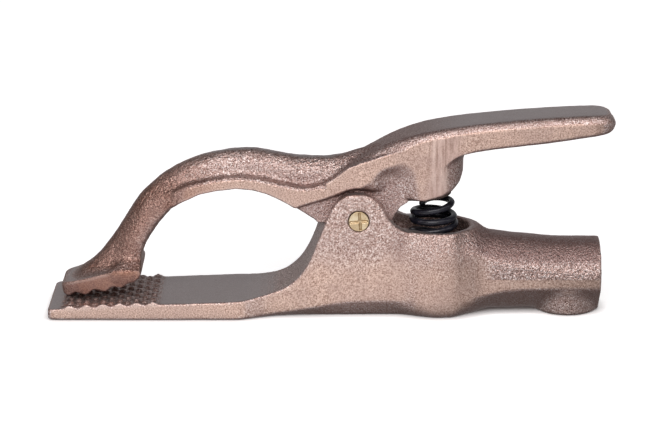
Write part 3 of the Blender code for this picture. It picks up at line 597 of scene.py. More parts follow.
def turned_brass(name):
    n = MaterialNodes(name)
    rings = n.noise(scale=2600, stretch=(0.6, 1.0, 0.6))
    patch = n.noise(scale=260)
    colour = n.ramp(patch, [(0.35, (0.46, 0.33, 0.19)), (0.55, (0.62, 0.475, 0.30)),
                            (0.7, (0.77, 0.64, 0.45))])
    # painted shade in the pin's grooves and round its rim, carried by the hollow attribute
    colour = n.tint(colour, (0.22, 0.13, 0.06), mask=n.attribute("hollow"), strength=0.9)
    return n.fine_finish(colour, metallic=1.0, grain=rings, roughness=(0.24, 0.42),
                         depth=0.00008, strength=0.7, relief=n.plus(rings, patch))


def coated_spring(name):
    n = MaterialNodes(name)
    patch = n.noise(scale=320, roughness=0.55)
    colour = n.ramp(patch, [(0.35, (0.008, 0.008, 0.013)), (0.62, (0.020, 0.020, 0.030)),
                            (0.8, (0.040, 0.039, 0.052))])
    return n.fine_finish(colour, metallic=0.2, grain=n.noise(scale=1500),
                         roughness=(0.14, 0.28), depth=0.00006, strength=0.5)


def fibre_board(name):
    n = MaterialNodes(name)
    strands = n.noise(scale=1400, detail=4.0, roughness=0.65, stretch=(1.0, 1.0, 3.0))
    colour = n.ramp(strands, [(0.3, (0.030, 0.018, 0.014)), (0.55, (0.075, 0.045, 0.035)),
                              (0.75, (0.13, 0.085, 0.065))])
    blotch = n.span(n.noise(scale=200), across=(0.4, 0.7), to=(0.0, 0.5))
    colour = n.mix(blotch, colour, (0.045, 0.028, 0.024))
    return n.fine_finish(colour, metallic=0.0, grain=strands, roughness=(0.55, 0.8),
                         depth=0.00012, strength=0.7)


def oxide_steel(name):
    n = MaterialNodes(name)
    colour = n.ramp(n.noise(scale=300), [
        (0.35, (0.035, 0.033, 0.034)), (0.6, (0.075, 0.073, 0.077)), (0.8, (0.16, 0.155, 0.15))])
    colour = n.tint(colour, (0.32, 0.31, 0.30), mask=n.attribute("edge"), strength=0.5)
    return n.fine_finish(colour, metallic=0.85, grain=n.noise(scale=2400),
                         roughness=(0.30, 0.48), depth=0.00008, strength=0.6)


def bright_ball(name):
    n = MaterialNodes(name)
    patch = n.noise(scale=600, detail=2.0, roughness=0.5)
    colour = n.ramp(patch, [(0.3, (0.50, 0.50, 0.51)), (0.6, (0.68, 0.68, 0.70)),
                            (0.8, (0.80, 0.80, 0.82))])
    return n.fine_finish(colour, metallic=1.0, grain=n.noise(scale=3000),
                         roughness=(0.10, 0.24), depth=0.00002, strength=0.5)


# ---------------------------------------------------------------- casting finish
def finish_casting(name, field, material, finish_rule):
    """Mesh a casting, weight its finishes and its painted shade, and roughen its skin."""
    verts, quads = field.skin()
    normals = field.normals(verts)
    hollow = field.hollows(verts, normals, reach=1.6, gain=1.6, offset=0.15)
    edge = field.edges(verts, normals, reach=1.6) * (1 - hollow)
    ground, coarse, painted_arm_shade, shade = finish_rule(verts, normals)
    x, y, z = verts.T
    # grinding marks run up and down on the side of the spring boss only
    brushed = ground * step_up(34, 40, x) * step_up(50, 46, x) * step_up(38, 44, z)
    lumps = 0.055 * lattice(verts, size=1.5, seed=3) + 0.05 * lattice(verts, size=3.2, seed=5)
    lumps = lumps * (1 - 0.85 * ground) * (0.5 + coarse)
    wave = 0.07 * lattice(verts, size=11.0, seed=7) + 0.05 * lattice(verts, size=24.0, seed=9)
    verts = verts + normals * (lumps + wave * (1 - 0.5 * ground))[:, None]
    # the hollow attribute carries both the hollow mask and the painted shade weights
    return mesh_object(name, verts, quads, material, {
        "ground": ground, "hollow": np.maximum(hollow, shade), "edge": edge, "coarse": coarse,
        "brushed": brushed, "painted_arm_shade": painted_arm_shade})


def lower_jaw_finish(places, normals):
    """Ground, coarse, painted arm shade and painted shade weights."""
    x, y, z = places.T
    normal_x, normal_y, normal_z = normals.T
    upright = step_up(0.90, 0.985, np.abs(normal_y)) * step_up(-0.30, -0.10, normal_z)
    round_wall = (step_up(0.80, 0.97, np.hypot(normal_x, normal_y))
                  * step_up(30, 34, x) * step_up(56, 52, x))
    low_part = 1 - (step_up(14, 27, z + 2.0 * lattice(places, size=5.0, seed=11))
                    * step_up(-12, -6, x))
    outside = step_up(11.5, 12.4, np.abs(y))
    strip = 1 - step_up(13.6, 14.4, z) * step_up(56, 62, x)
    ground = np.clip(np.maximum(upright, round_wall * 0.9) * (0.25 + 0.75 * low_part)
                     * outside * strip, 0, 1)

    barrel_top = (step_up(54, 66, x) * step_up(12, 15, z)
                  * (1 - 0.7 * step_up(0.45, 0.8, normal_z)))
    ear = step_up(20, 30, z) * 0.72
    coarse = np.clip(np.maximum(barrel_top, ear) + 0.1, 0, 1)

    # painted shade on the barrel's upward faces and, more lightly, on all upward faces from the
    # pocket on
    top = 0.92 * step_up(0.28, 0.64, normal_z) * step_up(48, 57, x)
    shelf = 0.40 * step_up(0.5, 0.9, normal_z) * step_up(42, 50, x)
    side = (step_up(9, 12, np.abs(y))
            * step_up(18, 27, z + 2.0 * lattice(places, size=5.0, seed=12)))
    # painted shade: dark bands on both sides of the round wall
    flank = (0.50 * np.exp(-((x - 52.5) / 4.5) ** 2)
             + 0.42 * np.exp(-((x - 27.0) / 3.2) ** 2))
    # painted shade over the right part of the body
    right_painted_shade = 0.15 * step_up(18, 42, x) * step_up(64, 56, x) * step_up(4, 8, z)
    shade = np.maximum(np.maximum(top, shelf), np.maximum(flank * side, right_painted_shade))
    return ground, coarse, np.zeros(len(places)), shade


def lever_finish(places, normals):
    """Ground, coarse, painted arm shade and painted shade weights."""
    x, y, z = places.T
    normal_x, normal_y, normal_z = normals.T
    facing_side = np.abs(normal_y)
    ground = np.clip(step_up(0.90, 0.985, facing_side) * step_up(9.6, 9.95, np.abs(y)), 0, 1)

    relief = step_up(10.2, 8.9, np.abs(y)) * step_up(-15, -12, x) * step_up(29, 26, x)
    rib = step_up(40, 50, z) * step_up(14, 4, x)
    low_arm = step_up(-46, -60, x) * step_up(14, 17, z)
    coarse = np.clip(0.6 * rib + 0.45 * relief + 0.6 * low_arm + 0.15, 0, 1)

    # painted arm shade: the lower arm is darker and browner, less so on its top faces and on
    # faces turned to the tail
    arm_shade_reach = step_up(-30, -62, x + 0.5 * (z - 50))
    facing_tail = (step_up(-0.15, 0.45, normal_x) * step_up(18, 21, z)
                   * step_up(-74, -64, x))
    on_top = step_up(0.75, 0.95, normal_z) * step_up(30, 24, z)
    painted_arm_shade = arm_shade_reach * (1 - 0.75 * on_top) * (1 - 0.6 * facing_tail)

    # painted shade on the foot's side, in the relief's recess, on the handle's upward shoulder
    # and over the spring boss
    foot_side = step_up(-63, -66, x) * step_up(17, 15, z) * step_up(0.6, 0.8, facing_side)
    deep = 0.46 * relief * step_up(52, 48, z + 0.3 * lattice(places, size=3.0, seed=13))
    shoulder = (0.62 * step_up(0.62, 0.90, normal_z) * step_up(60, 28, x)
                * step_up(-2, 12, x))
    right_painted_shade = 0.16 * step_up(24, 34, x) * step_up(62, 58, z)
    shade = np.maximum(np.maximum(deep, shoulder), np.maximum(0.28 * foot_side, right_painted_shade))
    return ground, coarse, painted_arm_shade, shade


# ---------------------------------------------------------------- lower jaw casting
def lower_jaw_body(grid, top, plan):
    """Plate, ears, cable barrel, pocket wall and screw boss, all solid."""
    x, y, z = grid.axes
    width, parting, foot_width, floor = (
        along(line, x).astype(np.float32)
        for line in (LOWER_WIDTH, LOWER_PARTING, LOWER_BOTTOM_WIDTH, LOWER_BOTTOM))
    outline = traced([point for point in LOWER_TOP if point[0] <= 46], step=0.7)
    side = grid.side(outline + [(46, 0.0), (-99.0, 0.0), (NOSE_X, 0.6)])
    # the flank leans inward below the parting line
    run, rise = width - foot_width, np.maximum(parting - floor, 0.3)
    draft = ((y - width) * rise + (parting - z) * run) / np.hypot(run, rise)
    body = common(common(side, plan, edge=0.55), draft, edge=0.35)

    # cable barrel: round above, flat ground strip at the widest place, drafted below
    radius = (top - floor) / 2
    tube = np.hypot(y, z - (floor + radius)) - radius
    barrel = common(common(tube, y - BODY_WIDTH, edge=0.25), draft, edge=0.5)
    barrel = common(common(barrel, x - BARREL_END, edge=0.45), 40.0 - x, edge=0.3)

    # round wall of the spring pocket
    wall = along(POCKET_WALL, z).astype(np.float32)
    bulge = common(np.hypot(x - POCKET_X, y) - wall, z - (RIM_Z + 0.15), edge=0.7)
    boss = common(np.hypot(x - SCREW_X, y) - 11.7, z - 9.0, edge=0.6)
    boss = common(boss, -z, edge=0.8)
    solid = joined(body, bulge, fillet=5.0)
    solid = joined(solid, barrel, fillet=6.0)
    solid = joined(solid, boss, fillet=1.8)
    solid = common(solid, -z, edge=0.4)
    solid = common(solid, x - BARREL_END, edge=0.45)
    # the bulge never stands far above the top line or the rim
    cap = np.where(x < 30, z - (top + 0.6), z - np.maximum(top + 0.3, RIM_Z + 0.15))
    return common(solid, cap, edge=0.5)


def add_waffle_teeth(solid, grid, top, plan):
    """Rows of bumps on the nose of the plate, cut off by the plate's sides."""
    x, y, z = grid.axes
    phase_x = 2 * math.pi * ((x - TOOTH_START) / TOOTH_PITCH)
    wave = 0.5 + 0.5 * np.cos(phase_x) * np.cos(2 * math.pi * (y / TOOTH_PITCH_Y))
    pad = 1.3 * np.power(wave, 1.1) - 0.22
    inside_x = np.minimum(x - (TOOTH_START - TOOTH_PITCH / 2),
                          TOOTH_START + (TOOTH_ROWS - 0.62) * TOOTH_PITCH - x)
    pad = pad * step_up(-0.3, 0.5, inside_x)
    surface = (z - top - pad) * 0.75
    teeth = np.maximum(surface, np.maximum(top - 2.0 - z, -inside_x))
    teeth = common(common(teeth, plan, edge=0.3), NOSE_X - x, edge=0.2)
    solid = np.minimum(solid, teeth)
    near_top = (inside_x > 0) & (np.abs(z - top) < 2.0)
    return np.where(near_top, np.maximum(solid, surface), solid)


def cut_lower_openings(solid, grid):
    """Slot between the ears, spring pocket, pin hole, cable bore and screw hole."""
    x, y, z = grid.axes
    slot_r = 10.4
    slot_floor = PIVOT_Z - slot_r
    slot = grid.side([(-8, 33.4), (-1.0, 33.4)] + pivot_arc(slot_r, range(196, 271, 4))
                     + [(34, slot_floor), (34, 60), (-8, 60)])
    solid = cut(solid, common(slot, y - SLOT_WIDTH, edge=0.8), edge=0.45)
    part = np.clip((z - POCKET_FLOOR) / (RIM_Z - POCKET_FLOOR), 0, 1.6)
    pocket_r = POCKET_FLOOR_R + (POCKET_R - POCKET_FLOOR_R) * part
    pocket = common(np.hypot(x - POCKET_X, y) - pocket_r, POCKET_FLOOR - z, edge=0.5)
    solid = cut(solid, pocket, edge=0.8)
    solid = cut(solid, np.hypot(x - PIVOT_X, z - PIVOT_Z) - 3.80, edge=0.10)
    # bore with a conical end, and a chamfer at its mouth
    across = np.hypot(y, z - BARREL_Z)
    cone = (BORE_START - x) * 0.9 + across * 0.45 - 1.0
    solid = cut(solid, common(across - BORE_R, cone, edge=0.8), edge=0.35)
    solid = cut(solid, across - (BORE_R + 1.8 + (x - BARREL_END - 1.0)), edge=0.2)
    hole = np.hypot(x - SCREW_X, y) - SCREW_HOLE_R
    return cut(solid, np.maximum(hole, z - BARREL_Z), edge=0.3)


def build_lower_jaw(material):
    grid = Grid((-102.5, 0, -2.0), (102.6, 19.0, 48.0), step=0.55)
    top = along(LOWER_TOP, grid.axes[0]).astype(np.float32)
    edge_line = traced(LOWER_WIDTH[1:-1] + [(60, BODY_WIDTH)], step=0.8)
    plan = grid.plan([(NOSE_X, -5.0), (NOSE_X, 15.2), (-99.7, 16.1), (-99.0, 16.6)]
                     + edge_line + [(60, -5.0)])
    solid = lower_jaw_body(grid, top, plan)
    solid = add_waffle_teeth(solid, grid, top, plan)
    solid = cut_lower_openings(solid, grid)
    return finish_casting("lower_jaw_cast", grid.field(solid), material, lower_jaw_finish)


# ---------------------------------------------------------------- upper jaw lever
def waved(points, count=8):
    """A wavy line through turning points."""
    line = []
    for start, end in zip(points, points[1:]):
        for k in range(count):
            t = k / count
            ease = 0.5 - 0.5 * math.cos(math.pi * t)
            line.append((start[0] + (end[0] - start[0]) * t,
                         start[1] + (end[1] - start[1]) * (0.7 * ease + 0.3 * t)))
    return line + [points[-1]]


def lever_strip(grid):
    """Arm strip and handle, with the spring boss under the handle."""
    x, y, z = grid.axes
    slab = grid.side(traced(LEVER_TOP, step=0.7) + traced(HANDLE_BOTTOM, step=0.8)[::-1]
                     + LEVER_BOTTOM[::-1])
    plan = grid.plan([(-78.0, -6.0)] + traced(LEVER_WIDTH, step=0.6) + [(104.1, -6.0)])
    corner = [(40.5 + 9.4 * math.sin(math.radians(a)), 2.4 + 9.0 * math.cos(math.radians(a)))
              for a in range(5, 91, 5)]
    boss_plan = grid.plan([(14.0, -4.0), (14.0, 11.4), (40.5, 11.4)] + corner + [(49.9, -4.0)])
    boss = common(grid.side(LEVER_BOSS_SIDE), boss_plan, edge=1.1)
    solid = joined(slab, boss, fillet=3.4)

    bottom = np.where(x < 0, along(LEVER_BOTTOM, x), 57.4 + 0.15 * (x - 22))
    upper = z > (along(LEVER_TOP, x) + bottom) / 2
    upper_edge = (1.7 + 3.0 * step_up(-52, -64, x) + 3.9 * step_up(-4, 7, x)
                  - 2.1 * step_up(22, 38, x))
    lower_edge = 0.5 + 0.9 * step_up(48, 56, x)
    edge = np.where(upper, upper_edge, lower_edge).astype(np.float32)
    solid = common(solid, plan, edge)
    # the strip narrows down the arm and widens again into the foot
    column = y - (6.4 + 5.6 * step_up(-63, -45, x) + 6.0 * step_up(21, 16, z))
    return np.where(x < -40, common(solid, column, edge=1.7), solid)


def add_rib(solid, grid):
    """Rounded rib on the arm, cut off by the arm's underside."""
    x, y, z = grid.axes
    crest_x = np.linspace(RIB_CREST[0][0], RIB_CREST[-1][0], 121)
    crest_z = along(RIB_CREST, crest_x)
    run_x, run_z = np.gradient(crest_x), np.gradient(crest_z)
    length = np.hypot(run_x, run_z)
    radii = (6.0 * (0.75 + 0.25 * step_up(-84, -74, crest_x))
             * (0.62 + 0.38 * step_up(24, 2, crest_x))
             + 0.7 * step_up(-60, -68, crest_x) * step_up(-86, -76, crest_x))
    # the rib's centre line lies one radius below the crest
    centre = np.stack([crest_x + run_z / length * radii, crest_z - run_x / length * radii],
                      axis=1)
    away, rib_r = line_distance(x, z, centre.tolist(), radii.tolist())
    rib = np.hypot(away, y) - rib_r
    # the cut-off outline clears the crest by 1, except at its last points
    crest = traced(RIB_CREST, step=0.8)
    crest[:135] = [(point[0], point[1] + 1.0) for point in crest[:135]]
    outline = crest + [(23, 50)] + LEVER_BOTTOM[::-1] + [(FOOT_END_X, 10.0), (-88, 10.0)]
    rib = common(rib, grid.side(outline), edge=1.2)
    fillet = 2.6 + 1.6 * step_up(-52, -62, x) - 1.4 * step_up(2, 12, x)
    return joined(solid, rib, fillet.astype(np.float32))


def add_foot(solid, grid):
    """Foot plate with its scalloped teeth, flared into the arm."""
    x, y, z = grid.axes
    side = grid.side(traced(FOOT_TOP, step=0.6) + waved(FOOT_TEETH)[::-1])
    plan = grid.plan([(-95.8, -5.0)] + traced(FOOT_WIDTH, step=0.6) + [(FOOT_END_X, -5.0)])
    foot = common(side, (plan + 0.15 * (12.0 - z)) * 0.99, edge=0.45)
    fillet = (6.0 - 4.0 * step_up(-70.5, -66.6, x)).astype(np.float32)
    solid = joined(solid, foot, fillet)
    tail_face = (x + 66.3) - 0.5 * np.maximum(z - 22.0, 0)
    return np.where((z < 27) & (x > -72), common(solid, tail_face, edge=0.5), solid)


def cut_relief(solid, grid):
    """Narrow part beside the ears, and a hollow between it and the spring boss."""
    x, y, z = grid.axes
    relief = grid.side(RELIEF_SIDE)
    soft = step_up(12, 18, x)
    lean = 0.30 + 1.4 * soft
    slope = (relief + 0.3 + 2.0 * soft - lean * (y - HUB_WIDTH)) / np.sqrt(1 + lean ** 2)
    solid = cut(solid, np.maximum(slope, HUB_WIDTH - y), (0.8 + 1.2 * soft).astype(np.float32))
    # round-ended groove between two places in the side view
    start_x, start_z, end_x, end_z = 24.0, 48.6, 26.4, 37.0
    run_x, run_z = end_x - start_x, end_z - start_z
    part = np.clip(((x - start_x) * run_x + (z - start_z) * run_z)
                   / (run_x ** 2 + run_z ** 2), 0, 1)
    away_x, away_z = x - start_x - part * run_x, z - start_z - part * run_z
    wide = np.where(away_x > 0, away_x / 1.06, away_x / 1.04)
    hollow = np.sqrt(wide ** 2 + away_z ** 2 + (y - 16.6) ** 2) - 8.5
    return cut(solid, hollow, (0.9 + 2.6 * step_up(23, 29, x)).astype(np.float32))


def add_hub(solid, grid):
    """Hub with its pin hole, and the recess of the upper spring seat."""
    x, y, z = grid.axes
    hub = grid.side([(-2.9, 34.15), (2.1, 33.9)] + pivot_arc(10.0, range(201, 331, 5)) + [
        (23.4, 33.2), (25.2, 37.0), (27.2, 40.0), (29.8, 41.6), (29.5, 46), (26, 56), (8, 52),
        (-4.5, 43)])
    solid = np.minimum(solid, common(hub, y - HUB_WIDTH, edge=0.2))
    solid = cut(solid, np.hypot(x - PIVOT_X, z - PIVOT_Z) - 3.95, edge=0.3)
    cosine, sine = math.cos(SEAT_TILT), math.sin(SEAT_TILT)
    from_x, from_z = x - SEAT_POINT[0], z - SEAT_POINT[2]
    height = -from_x * sine + from_z * cosine
    radius = np.hypot(from_x * cosine + from_z * sine, y)
    return cut(solid, common(radius - 6.6, np.abs(height + 2.1) - 3.9, edge=0.2), edge=0.3)


def build_lever(material):
    grid = Grid((-97.5, 0, 4.5), (106.0, 13.5, 76.0), step=0.48)
    solid = lever_strip(grid)
    for change in (add_rib, add_foot, cut_relief, add_hub):
        solid = change(solid, grid)
    return finish_casting("upper_jaw_lever_cast", grid.field(solid), material, lever_finish)


# ---------------------------------------------------------------- small pieces
def build_pin(material):
    """Pivot pin with two crossing grooves in each end."""
    grid = Grid((PIVOT_X - 4.6, -13.4, PIVOT_Z - 4.6), (PIVOT_X + 4.6, 13.4, PIVOT_Z + 4.6),
                step=0.16, mirrored=False)
    x, y, z = grid.axes
    from_x, from_z = x - PIVOT_X, z - PIVOT_Z
    radius = np.hypot(from_x, from_z)
    end = np.abs(y) - PIN_END
    crown = np.abs(y) - (PIN_END + 0.08 * np.clip(1 - (radius / 3.4) ** 2, 0, 1))
    solid = common(radius - PIN_R, crown, edge=0.1)
    solid = common(solid, (radius - 3.52) * 0.66 + end * 0.75, edge=0.08)
    for turn, offset in ((4, 0.1), (95, 0.45)):
        cosine, sine = math.cos(math.radians(turn)), math.sin(math.radians(turn))
        lengthwise = from_x * cosine + from_z * sine
        across = -from_x * sine + from_z * cosine + offset
        groove = common((np.abs(across) - 0.56) * 0.75 - end * 0.66, 12.1 - np.abs(y), edge=0.05)
        groove = common(groove, np.abs(lengthwise) - 3.3, edge=0.2)
        solid = cut(solid, groove, edge=0.08)
    field = grid.field(solid)
    verts, quads = field.skin()
    hollow = field.hollows(verts, field.normals(verts), reach=0.5, gain=1.5, offset=0.1)
    rim = step_up(3.48, 3.66, np.hypot(verts[:, 0] - PIVOT_X, verts[:, 2] - PIVOT_Z))
    # painted shade in the grooves and round the rim where the pin meets its hole
    return mesh_object("pivot_pin_staked", verts, quads, material,
                       {"hollow": np.maximum(hollow, rim)})


def build_screw(material):
    """Threaded set screw with a hexagon socket below and a ball seat on top."""
    grid = Grid((SCREW_X - 7.2, -7.2, 0.2), (SCREW_X + 7.2, 7.2, 8.6), step=0.17, mirrored=False)
    x, y, z = grid.axes
    from_x = x - SCREW_X
    radius = np.hypot(from_x, y)
    phase = z / THREAD_PITCH - np.arctan2(y, from_x) / (2 * math.pi)
    zigzag = 2 * np.abs(phase - np.floor(phase) - 0.5)
    thread = radius - (SCREW_R - 0.95 * np.clip(1.15 * zigzag - 0.08, 0, 1))
    lower_chamfer = (radius - SCREW_R) * 0.707 + (SCREW_BOTTOM - z + 0.55) * 0.707 - 0.1
    upper_chamfer = (radius - 4.9) * 0.707 + (z - SCREW_TOP) * 0.707
    solid = common(thread * 0.8, lower_chamfer, edge=0.1)
    solid = common(solid, upper_chamfer, edge=0.1)
    solid = common(solid, np.maximum(SCREW_BOTTOM - z, z - SCREW_TOP), edge=0.15)
    corner_side = np.abs(y) * 0.5 + np.abs(from_x) * 0.8660254
    hexagon = np.maximum(np.abs(y), corner_side) - HEX_ACROSS / 2
    solid = cut(solid, common(hexagon, z - 4.0, edge=0.1), edge=0.12)
    solid = cut(solid, np.sqrt(radius * radius + (z - BALL_Z) ** 2) - 2.65, edge=0.1)
    field = grid.field(solid)
    verts, quads = field.skin()
    edge = field.edges(verts, field.normals(verts), reach=0.5)
    return mesh_object("cable_set_screw_threaded", verts, quads, material, {"edge": edge})


def ring_quads(rings, per_ring, bands):
    """Quads between neighbouring rings of points; as many bands as rings closes the loop."""
    faces = []
    for k in range(bands):
        near, far = k * per_ring, (k + 1) % rings * per_ring
        for i in range(per_ring):
            j = (i + 1) % per_ring
            faces.append((near + i, near + j, far + j, far + i))
    return faces


def revolved(name, profile, segments, origin, axis, material):
    """Turned piece; profile is a closed loop of (distance along the axis, radius)."""
    axis = Vector(axis).normalized()
    side = axis.cross(Vector((0, 1, 0))).normalized()
    other_side = axis.cross(side).normalized()
    verts = []
    for k in range(segments):
        angle = 2 * math.pi * k / segments
        outward = side * math.cos(angle) + other_side * math.sin(angle)
        for height, radius in profile:
            verts.append(tuple(Vector(origin) + axis * height + outward * radius))
    return mesh_object(name, verts, ring_quads(segments, len(profile), segments), material)


def rounded_loop(points, radius, count=3):
    """A closed outline with each corner eased."""
    line = []
    for i, point in enumerate(points):
        corner, before = Vector(point), Vector(points[i - 1])
        after = Vector(points[(i + 1) % len(points)])
        ease = min(radius, 0.45 * (corner - before).length, 0.45 * (after - corner).length)
        start = corner + (before - corner).normalized() * ease
        end = corner + (after - corner).normalized() * ease
        for k in range(count + 1):
            t = k / count
            line.append(tuple(start * (1 - t) ** 2 + corner * 2 * t * (1 - t) + end * t**2))
    return line


def spring_point(part):
    """Wire centre, for part from 0 (bottom) to 1 (top)."""
    turn = SPRING_TURNS * part
    phase = math.pi - 2 * math.pi * (SPRING_TURNS - turn)
    radius = float(along(SPRING_R, turn))
    return Vector((float(along(SPRING_MID_X, turn)) + radius * math.cos(phase),
                   radius * math.sin(phase), float(along(SPRING_RISE, turn))))


def build_spring(material):
    sides, steps = 18, SPRING_TURNS * 64
    end_scale = {0: 0.86, 1: 0.97}  # the last two rings at each end are smaller
    verts = []
    for k in range(steps + 1):
        t = k / steps
        here = spring_point(t)
        ahead, behind = spring_point(min(t + 0.001, 1)), spring_point(max(t - 0.001, 0))
        tangent = (ahead - behind).normalized()
        outward = tangent.cross(Vector((0, 0, 1))).normalized()
        upward = outward.cross(tangent).normalized()
        radius = WIRE_R * end_scale.get(min(k, steps - k), 1.0)
        for m in range(sides):
            angle = 2 * math.pi * m / sides
            verts.append(tuple(
                here + (outward * math.cos(angle) + upward * math.sin(angle)) * radius))
    faces = ring_quads(steps + 1, sides, steps)
    faces.append(tuple(range(sides))[::-1])
    faces.append(tuple(steps * sides + m for m in range(sides)))
    return mesh_object("return_spring_wire", verts, faces, material)


def build_seat_cup(material):
    profile = rounded_loop([(0, 4.0), (0, 10.4), (2.8, 10.5), (2.8, 10.0), (1.3, 9.9),
                            (1.3, 4.0)], radius=0.22)
    return revolved("lower_spring_seat_cup", profile, 72, origin=(POCKET_X, 0, 9.35),
                    axis=(0, 0, 1), material=material)


def build_seat_washer(material):
    profile = rounded_loop([(0.0, 2.6), (0.0, 5.5), (1.4, 5.5), (1.4, 2.6)], radius=0.25)
    return revolved("upper_spring_seat_washer", profile, 72, origin=SEAT_POINT,
                    axis=(-math.sin(SEAT_TILT), 0, math.cos(SEAT_TILT)), material=material)


def build_ball(material):
    angles = [math.pi * (k + 0.35) / 24.7 for k in range(25)]
    profile = [(-BALL_R * math.cos(a), max(0.05, BALL_R * math.sin(a))) for a in angles]
    return revolved("set_screw_ball_point", profile, 48, origin=(SCREW_X, 0, BALL_Z),
                    axis=(0, 0, 1), material=material)


# ---------------------------------------------------------------- floor, light and camera
def floor_material():
    """Pale floor for the camera, with a painted contact shadow; the metal sees a separate glow
    with painted shade.
    """
    n = MaterialNodes("pale_floor")
    faint = n.noise(scale=6.0, detail=2.0, roughness=0.5)
    colour = n.ramp(faint, [(0.3, (0.83, 0.83, 0.83)), (0.7, (0.86, 0.86, 0.86))])
    # painted contact shadow: the floor's glow dims where the clamp stands close
    near = n.new("ShaderNodeAmbientOcclusion", samples=8)
    near.inputs["Distance"].default_value = 0.004
    contact_power, glow = 1.5, 0.62
    n.finish(Base_Color=colour, Metallic=0.0, Roughness=0.9, Emission_Color=(1.0, 1.0, 1.0),
             Emission_Strength=n.times(n.math("POWER", near.outputs["AO"], contact_power), glow),
             Specular_IOR_Level=0.0)

    # seen by the metal: a glow, bright on the -Y side, with painted shade under the clamp and at
    # its ends
    centre_x, spread, darkest, seen_glow = 0.045, 0.55, 0.29, 1.08
    spot = n.split(n.place)
    front = n.times(spot["Y"], -1.0)
    lit = n.span(front, across=(0.008, 0.026), to=(0.24, 1.0))
    from_centre = n.math("ABSOLUTE", n.plus(spot["X"], centre_x))
    sideways = n.math("SUBTRACT", from_centre, n.times(front, spread))
    lit = n.times(lit, n.span(sideways, across=(0.03, 0.165), to=(1.0, 0.13)))
    lit = n.math("MAXIMUM", lit, darkest)
    seen = n.new("ShaderNodeEmission")
    n.put(seen.inputs["Color"], (0.98, 0.98, 1.0))
    n.put(seen.inputs["Strength"], n.times(lit, seen_glow))
    chooser = n.new("ShaderNodeMixShader")
    n.put(chooser.inputs[0], n.new("ShaderNodeLightPath").outputs["Is Camera Ray"])
    n.put(chooser.inputs[1], seen.outputs[0])
    n.put(chooser.inputs[2], n.shader.outputs[0])
    n.put(n.tree.nodes["Material Output"].inputs["Surface"], chooser.outputs[0])
    return n.material


def build_floor():
    """Square floor, in metres, with its lines closest together in the middle."""
    count, reach, height = 48, 4.0, -0.0001
    lines = [k / count * 2 - 1 for k in range(count + 1)]
    verts = [(u * abs(u) * reach, v * abs(v) * reach, height) for u in lines for v in lines]
    corners = [i * (count + 1) + j for i in range(count) for j in range(count)]
    faces = [(a, a + count + 1, a + count + 2, a + 1) for a in corners]
    material = floor_material()
    mesh = bpy.data.meshes.new("floor")
    mesh.from_pydata(verts, [], faces)
    mesh.materials.append(material)
    link_object("floor", mesh)


def build_world():
    world = bpy.data.worlds.new("soft_studio")
    bpy.context.scene.world = world
    world.use_nodes = True
    n = Nodes(world.node_tree)
    way = n.split(n.new("ShaderNodeTexCoord").outputs["Generated"])
    # 0 at the -Y horizon, 0.5 straight up, 1 at the +Y horizon
    angle = n.math("DIVIDE", n.math("ARCTAN2", way["Z"], n.times(way["Y"], -1.0)), math.pi)
    sky = n.ramp(angle, [
        (0.0, (0.58, 0.58, 0.59)), (0.12, (0.66, 0.65, 0.65)), (0.24, (0.88, 0.74, 0.735)),
        (0.32, (1.98, 1.89, 1.87)), (0.362, (1.78, 1.70, 1.68)), (0.420, (0.075, 0.067, 0.07)),
        (0.62, (0.07, 0.065, 0.07)), (0.80, (0.27, 0.265, 0.27)), (1.0, (0.47, 0.475, 0.485))])
    # the sides of the room are darker than the front
    level = n.math("SQRT", n.math("SUBTRACT", 1.0, n.times(way["X"], way["X"])))
    side = n.span(level, across=(0.55, 0.965), to=(0.16, 1.0))
    back = n.tree.nodes["Background"]
    n.put(back.inputs["Color"], n.mix(1.0, sky, side, blend="MULTIPLY"))
    back.inputs["Strength"].default_value = 1.0


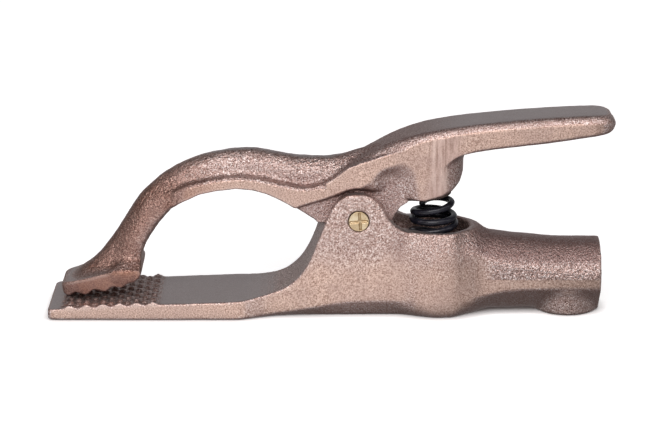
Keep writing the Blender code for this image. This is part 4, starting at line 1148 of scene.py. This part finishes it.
def build_softboxes():
    # name, place in metres, width and height in metres, watts
    for name, place, width, height, power in (
            ("softbox_front", (-0.10, -1.05, 0.85), 1.1, 0.5, 7.0),
            ("softbox_left", (-1.1, -0.25, 0.75), 0.5, 0.9, 1.6),
            ("softbox_right", (1.1, -0.15, 0.70), 0.5, 0.9, 1.2)):
        lamp = bpy.data.lights.new(name, "AREA")
        lamp.shape = "RECTANGLE"
        lamp.size, lamp.size_y, lamp.energy = width, height, power
        aim = Vector((0, 0, 0.02)) - Vector(place)
        obj = bpy.data.objects.new(name, lamp)
        obj.location = place
        obj.rotation_euler = aim.to_track_quat("-Z", "Y").to_euler()
        bpy.context.scene.collection.objects.link(obj)


def build_camera():
    """Long lens on the -Y side, looking slightly down."""
    lens = bpy.data.cameras.new("view")
    lens.lens, lens.sensor_width = 137.4, 36.0
    lens.clip_start, lens.clip_end = 0.01, 50
    pitch, distance, aim_z = math.radians(16.6), 0.900, 0.0327
    obj = link_object("view", lens)
    obj.location = (X_SHIFT * MM, -distance * math.cos(pitch),
                    aim_z + distance * math.sin(pitch))
    obj.rotation_euler = (math.pi / 2 - pitch, 0, 0)
    bpy.context.scene.camera = obj


# ---------------------------------------------------------------- the clamp
def register(piece, replaced, rides_on=None):
    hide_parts(replaced)
    if rides_on:
        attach(piece, rides_on)


bronze = cast_bronze("bronze_lower_jaw")
brass = turned_brass("brass_pin")
spring_coating = coated_spring("spring_coating")
fibre = fibre_board("fibre_seat")
oxide = oxide_steel("oxide_screw")
ball_steel = bright_ball("ball_steel_finish")

register(build_lower_jaw(bronze), "lower_jaw_casting", "lower_jaw")
register(build_lever(bronze), "upper_jaw_lever", "jaw_lever")
register(build_pin(brass), "pivot_pin", "lower_jaw")

spring = build_spring(spring_coating)
register(spring, "return_spring")
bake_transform(spring)

register(build_seat_cup(fibre), "lower_spring_seat", "lower_jaw")
register(build_seat_washer(fibre), "upper_spring_seat", "jaw_lever")
register(build_screw(oxide), "cable_set_screw", "set_screw")
register(build_ball(ball_steel), "set_screw_ball", "screw_point")

build_floor()
build_world()
build_softboxes()
build_camera()
bpy.context.scene.view_settings.view_transform = "Standard"
